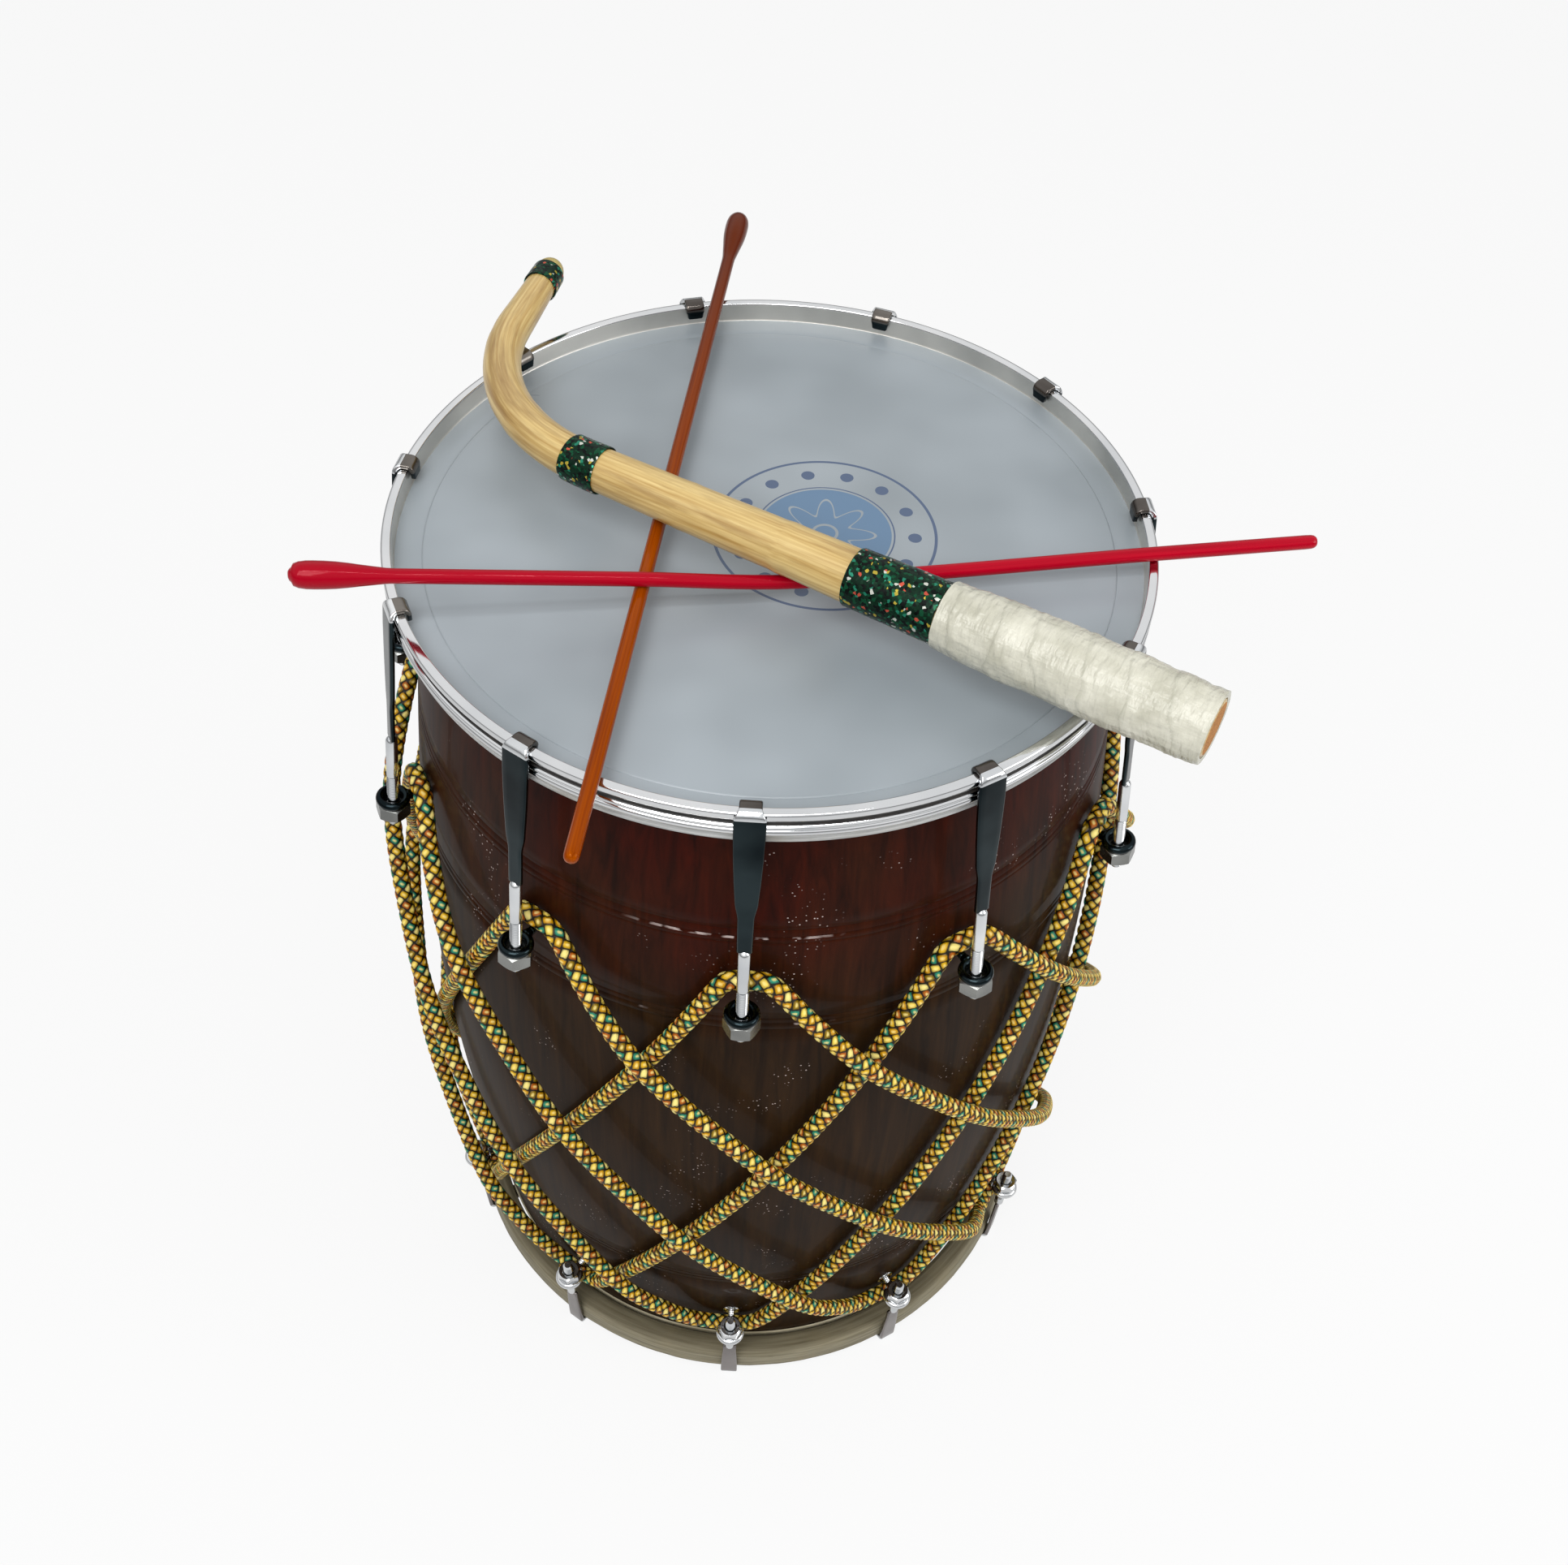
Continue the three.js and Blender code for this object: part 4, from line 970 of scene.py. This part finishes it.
lacing = {
    "radius": 4.9, "crown": 436.1, "foot": 52.5, "crownCut": 17.5, "footCut": 30,
    "crownBend": 3, "footBend": 7, "seat": 6, "down": 3, "up": 2,
    # how high a leg on its way down stands, over the legs that run up
    "rise": 10.6,
    "shares": (0, 0.02, 0.042, 0.09, 0.2, 0.3, 0.4, 0.5, 0.6, 0.7, 0.8, 0.88, 0.93, 0.97, 1),
    "rises": (0, 0, 0.08, 0.42, 1, 0.9, 1, 0.9, 1, 0.9, 1, 0.5, 0.14, 0, 0),
    "fine": 240,  # points on a leg
    "pick": 6.2,  # from one pick to the next along the rope
    "rows": 4, "strands": 4, "sides": 16, "relief": 0.8,
}


def softMin(a, b, bend):
    return min(a, b) - bend * math.log1p(math.exp(-abs(a - b) / bend))


def curveThrough(stops, values, slopeAt, at):
    # a cubic line through a table, with the slope that slopeAt gives at each of its stops
    i = max(k for k in range(len(stops) - 1) if stops[k] <= at or k == 0)
    span = stops[i + 1] - stops[i]
    t = min(max((at - stops[i]) / span, 0), 1)
    return ((2 * t ** 3 - 3 * t ** 2 + 1) * values[i] + (t ** 3 - 2 * t ** 2 + t) * span * slopeAt(i)
            + (3 * t ** 2 - 2 * t ** 3) * values[i + 1] + (t ** 3 - t ** 2) * span * slopeAt(i + 1))


def levelSlope(k):
    # level at the highs and lows of the rope's rises
    stops, values = lacing["shares"], lacing["rises"]
    if k in (0, len(stops) - 1):
        return 0
    left = (values[k] - values[k - 1]) / (stops[k] - stops[k - 1])
    right = (values[k + 1] - values[k]) / (stops[k + 1] - stops[k])
    return 0 if left * right <= 0 else 2 * left * right / (left + right)


def ropePoint(lug, share, rise):
    line = lacing["crown"] + lacing["crownCut"]
    line += (lacing["foot"] - lacing["footCut"] - line) * share
    z = softMin(line, lacing["crown"], lacing["crownBend"])
    z = -softMin(-z, -lacing["foot"], lacing["footBend"])
    r = barrelRadius(z) + lacing["seat"] + rise
    return Vector((r * math.sin(lug * lugStep), -r * math.cos(lug * lugStep), z))


def ropeRoute():
    # eleven times down three lugs over the others and up two lugs under them, in fine steps
    route, lug = [], 0
    for leg in range(2 * drum["lugs"]):
        down = leg % 2 == 0
        lugs = lacing["down" if down else "up"]
        for i in range(lacing["fine"]):
            share = i / lacing["fine"]
            rise = curveThrough(lacing["shares"], lacing["rises"], levelSlope, share) if down else 0
            route.append(ropePoint(lug + lugs * share, share if down else 1 - share, lacing["rise"] * rise))
        lug += lugs
    return route


def evenSteps(route, step, multiple):
    # the same closed route in equal steps, as many as the braid needs to meet itself
    lengths = [0]
    closed = route + [route[0]]
    for a, b in zip(closed, closed[1:]):
        lengths.append(lengths[-1] + (b - a).length)
    count = round(lengths[-1] / step / multiple) * multiple
    points, at = [], 0
    for i in range(count):
        goal = lengths[-1] * i / count
        while lengths[at + 1] < goal:
            at += 1
        share = (goal - lengths[at]) / (lengths[at + 1] - lengths[at])
        points.append(closed[at].lerp(closed[at + 1], share))
    return points, lengths[-1]


def pickCrown(x, y):
    # how high the strand on top stands, where strands cross at whole and half numbers
    a, b = x + y, x - y
    fromA, fromB = a - round(a), b - round(b)
    across, along = (fromA, fromB) if (round(a) + round(b)) % 2 == 0 else (fromB, fromA)
    return max(1 - (2 * abs(across)) ** 3, 0) * max(1 - (1.9 * abs(along)) ** 3, 0)


def makeRope():
    rows, around = lacing["rows"], lacing["sides"]
    points, length = evenSteps(ropeRoute(), lacing["pick"] / rows, rows * lacing["strands"])
    count, turns = len(points), lacing["strands"] / around
    vertices, faces, coordinates = [], [], []
    for i, point in enumerate(points):
        tangent = (points[(i + 1) % count] - points[i - 1]).normalized()
        outward = Vector((point.x, point.y, 0)).normalized()
        normal = (outward - tangent * outward.dot(tangent)).normalized()
        across = tangent.cross(normal)
        start, following = i * around, (i + 1) % count * around
        for j in range(around):
            angle = 2 * math.pi * j / around
            radius = lacing["radius"] - lacing["relief"] * (1 - pickCrown(j * turns, i / rows))
            vertices.append((point + radius * (normal * math.cos(angle) + across * math.sin(angle))) * mm)
            beside = (j + 1) % around
            faces.append((start + j, start + beside, following + beside, following + j))
            left, right, low, high = j * turns, (j + 1) * turns, i / rows, (i + 1) / rows
            coordinates += [left, low, right, low, right, high, left, high]
    mesh = bpy.data.meshes.new("braided_lacing")
    mesh.from_pydata(vertices, [], faces)
    mesh.uv_layers.new(name="braid").data.foreach_set("uv", coordinates)
    mesh.polygons.foreach_set("use_smooth", [True] * len(mesh.polygons))
    mesh.update()
    obj = bpy.data.objects.new("braided_lacing", mesh)
    bpy.context.scene.collection.objects.link(obj)
    enter(obj, "drum", "rope", "lacing_rope", cord)
    print(f"lacing made: {length / 1000:.2f} m of rope, {count} rows")


makeRope()


# Beaters: each is turned straight up +Z and then laid along its line

def keepStraight(obj):
    # the straight place of every point, which the finishes follow after the piece is bent
    attribute = obj.data.attributes.new("straight", "FLOAT_VECTOR", "POINT")
    attribute.data.foreach_set("vector", [value for vertex in obj.data.vertices for value in vertex.co])


def layAlong(obj, path):
    # path(distance) gives the place on the line, all in millimetres
    for vertex in obj.data.vertices:
        distance = vertex.co.z / mm
        tangent = (path(distance + 0.5) - path(distance - 0.5)).normalized()
        normal = (Vector((0, 0, 1)) - tangent * tangent.z).normalized()
        vertex.co = path(distance) * mm + normal * vertex.co.x + tangent.cross(normal) * vertex.co.y
    obj.data.update()


def valueAt(table, at):
    if at <= table[0][0]:
        return table[0][1]
    for (start, low), (end, high) in zip(table, table[1:]):
        if end >= at:
            return low + (high - low) * (at - start) / (end - start)
    return table[-1][1]


tihli = {
    "length": 485, "radius": 3.5, "steps": 32,
    "butt": [(0, 0), (1.6, 0.1), (2.7, 0.7), (3.4, 1.5)],
    "bulb": 6.5, "bulbLength": 46,
    # shares of the bulb's length and girth
    "bulbShape": ((0.05, 0.78), (0.1, 0.92), (0.17, 0.99), (0.24, 1), (0.34, 0.99), (0.45, 0.95),
                  (0.56, 0.87), (0.66, 0.775), (0.75, 0.7), (0.84, 0.625), (0.92, 0.56)),
    "tip": [(3.4, 3), (3.1, 1.6), (2.4, 0.6), (1.3, 0.1), (0, 0)],  # radius, and distance to the end
    "brownBulb": (-32.252, 262.117), "brownHeading": 265.4, "brownHeights": ((0, 557.9), (485, 557.9)),
    "redBulb": (-211.343, -89.038), "redHeading": 11,  # bowed over the brown one and the rim
    "redHeights": ((0, 582.569), (154.3, 565.2), (230.806, 556.588), (403.877, 557.9), (485, 558.515)),
}


def makeTihli(name, colourName, finish):
    length, radius, bulb, reach = tihli["length"], tihli["radius"], tihli["bulb"], tihli["bulbLength"]
    profile = tihli["butt"] + [(bulb * girth, reach * share) for share, girth in tihli["bulbShape"]]
    profile += [(radius, reach + (length - reach - 6) * i / 40) for i in range(41)]
    profile += [(r, length - short) for r, short in tihli["tip"]]
    obj = turnProfile(name, profile, tihli["steps"], 60)
    keepStraight(obj)
    start = Vector((*tihli[colourName + "Bulb"], 0))
    heading = math.radians(tihli[colourName + "Heading"])
    stops, heights = zip(*tihli[colourName + "Heights"])

    def evenSlope(k):
        low, high = max(k - 1, 0), min(k + 1, len(stops) - 1)
        return (heights[high] - heights[low]) / (stops[high] - stops[low])

    def line(distance):
        place = start + Vector((math.cos(heading), math.sin(heading), 0)) * distance
        place.z = curveThrough(stops, heights, evenSlope, distance)
        return place

    layAlong(obj, line)
    enter(obj, "tihli_" + colourName, colourName + "_plastic", "tihli_" + colourName, finish)


makeTihli("brown_beater", "brown", brownRod)
makeTihli("crimson_beater", "red", redRod)
print("thin beaters made")

dagga = {
    "start": (195.5952, -140.0976), "heading": 152.2, "height": 572.796, "slope": 0.001867,
    "straight": 324, "bendRadius": 99, "bendAngle": 75, "length": 513.59, "sides": 44,
    "butt": [(0, 0), (5, 0), (10, 0), (12.6, 0), (13.6, 0.5), (14, 1.4)],
    "cane": [(0, 14), (130, 14), (176.3, 13.2), (324, 11), (453.59, 9.4), (507.59, 7.6), (511.59, 5.7),
             (513.59, 2.53)],
    "tipRadius": 7.6, "tipRound": 8,
    "nodes": (212, 268, 372, 436),  # leaf scars on the cane
    "bands": {"grip": (130.3, 46), "middle": (314, 19), "tip": (490, 14)},
    "bandThickness": 0.9,
}


def daggaLine(distance):
    heading, bend = math.radians(dagga["heading"]), math.radians(dagga["bendAngle"])
    straight, radius = dagga["straight"], dagga["bendRadius"]

    def step(origin, angle, reach):
        return origin + Vector((math.cos(angle), math.sin(angle), 0)) * reach

    place = step(Vector((*dagga["start"], 0)), heading, min(distance, straight))
    if distance > straight:
        centre = step(place, heading - math.pi / 2, radius)
        turn = min((distance - straight) / radius, bend)
        place = step(centre, heading + math.pi / 2 - turn, radius)
        place = step(place, heading - bend, max(distance - straight - radius * bend, 0))
    place.z = dagga["height"] + dagga["slope"] * distance
    return place


def makeCane():
    length, tip, bend = dagga["length"], dagga["tipRadius"], dagga["tipRound"]
    profile = list(dagga["butt"])
    for stop in [4 + (length - 16) * i / 110 for i in range(111)]:
        girth = valueAt(dagga["cane"], stop)
        for scar in dagga["nodes"]:
            girth += 0.28 * math.exp(-((stop - scar) / 2.6) ** 2)
            girth -= 0.16 * math.exp(-((stop - scar - 5) / 3) ** 2)
        profile.append((girth, stop))
    for angle in range(10, 90, 10):  # rounded, worn tip
        bent = math.radians(angle)
        girth = tip * math.cos(bent) + 0.02 * (90 - angle) / 90
        profile.append((girth, length - bend + bend * math.sin(bent)))
    obj = turnProfile("bent_cane", profile + [(0, length)], dagga["sides"], 50)

    keepStraight(obj)
    # a natural stem: never quite round
    reshape(obj, lambda reach, angle, z: reach * (0.988 + 0.02 * ripple(angle, z, 1, 45)))
    layAlong(obj, daggaLine)
    enter(obj, "dagga", "cane", "dagga_cane", cane, caneEnd)
    straight = obj.data.attributes["straight"].data
    for face in obj.data.polygons:
        if max(straight[i].vector.z for i in face.vertices) < 0.3 * mm:
            face.material_index = 1


makeCane()

grip = {
    "length": 130, "girths": [(0, 18), (32.5, 18.5), (97.5, 18.5), (130, 16.5)], "inner": 14.35, "steps": 72,
    "wrap": 21, "lap": 0.38,  # millimetres from wrap to wrap, and the tape's thickness
    # how much the wraps wander, and how deep the wrinkles, the fine puckers and the sags are
    "drift": 0.34, "wrinkle": 0.45, "pucker": 0.3, "sag": 0.75, "drawnIn": 0.45,
}


def makeGripTape():
    end, inner, lapHeight = grip["length"], grip["inner"], grip["lap"]
    profile = [(inner, 0.4), (17, 0), (17.8, 0.2)]
    profile += [(valueAt(grip["girths"], stop / 2), stop / 2) for stop in range(1, 2 * end)]
    profile += [(15.6, end - 0.1), (inner, end - 0.4)]
    profile += [(inner, end * share) for share in (0.75, 0.5, 0.25)]
    obj = turnProfile("spiral_grip_tape", profile, grip["steps"], 60)
    keepStraight(obj)
    laps = []

    def wrap(reach, angle, z):
        x, y = math.cos(angle), math.sin(angle)
        drift = grip["drift"] * noise.noise(Vector((z / 24, 1.3 * x, 3)))
        lap = (z / grip["wrap"] - angle / (2 * math.pi) + drift) % 1
        laps.append(lap if reach > 15 else 0)
        if reach < 15.5:
            return reach
        # each wrap is thick at its free edge and sinks under the next one
        step = lapHeight * (1 - (1 - lap) ** 2.2 if lap < 0.94 else (1 - lap) / 0.06)
        relief = grip["wrinkle"] * ripple(angle, z, 2.2, 5) + grip["pucker"] * ripple(angle, z, 5, 1.9)
        relief += grip["sag"] * noise.noise(Vector((x * 0.9 + 7, y * 0.9, z / 14)))
        return reach - lapHeight + step + relief - grip["drawnIn"]

    reshape(obj, wrap)
    obj.data.attributes.new("lap", "FLOAT", "POINT").data.foreach_set("value", laps)
    layAlong(obj, daggaLine)
    enter(obj, "dagga", "tape", "dagga_grip_tape", tape)


makeGripTape()


def makeBand(name):
    (start, length), thick = dagga["bands"][name], dagga["bandThickness"]
    stops = [start + 0.5 + (length - 1) * i / 24 for i in range(25)]
    inside = [(valueAt(dagga["cane"], stop) + gap, stop) for stop in stops]
    first, last = inside[0][0], inside[-1][0]
    profile = [(first, start), (first + thick - 0.35, start)]
    profile += [(r + thick - 0.1, stop) for r, stop in inside]
    profile += [(last + thick - 0.35, start + length), (last, start + length)] + inside[::-1]
    obj = turnProfile(name + "_glitter_band", profile, 56, 50)
    keepStraight(obj)

    def seam(reach, angle, z):
        # the whole band is a little uneven
        if reach <= valueAt(dagga["cane"], z) + 0.5:
            return reach
        return reach + 0.12 * ripple(angle, z, 2, 7) - 0.12

    reshape(obj, seam)
    layAlong(obj, daggaLine)
    enter(obj, "dagga", "glitter", f"dagga_{name}_band", glitter)


for band in dagga["bands"]:
    makeBand(band)
print("dagga made")


# Floor

floor = {"height": -6.6, "size": 60}  # millimetres under the drum's skin, and metres across

bpy.ops.object.select_all(action="DESELECT")
bpy.ops.mesh.primitive_grid_add(x_subdivisions=4, y_subdivisions=4, size=floor["size"],
                                location=(0, 0, floor["height"] * mm))
sweep = bpy.context.object
sweep.name = "floor"
setFinishes(sweep, studioFloor())
bpy.ops.object.transform_apply(location=True, rotation=False, scale=False)
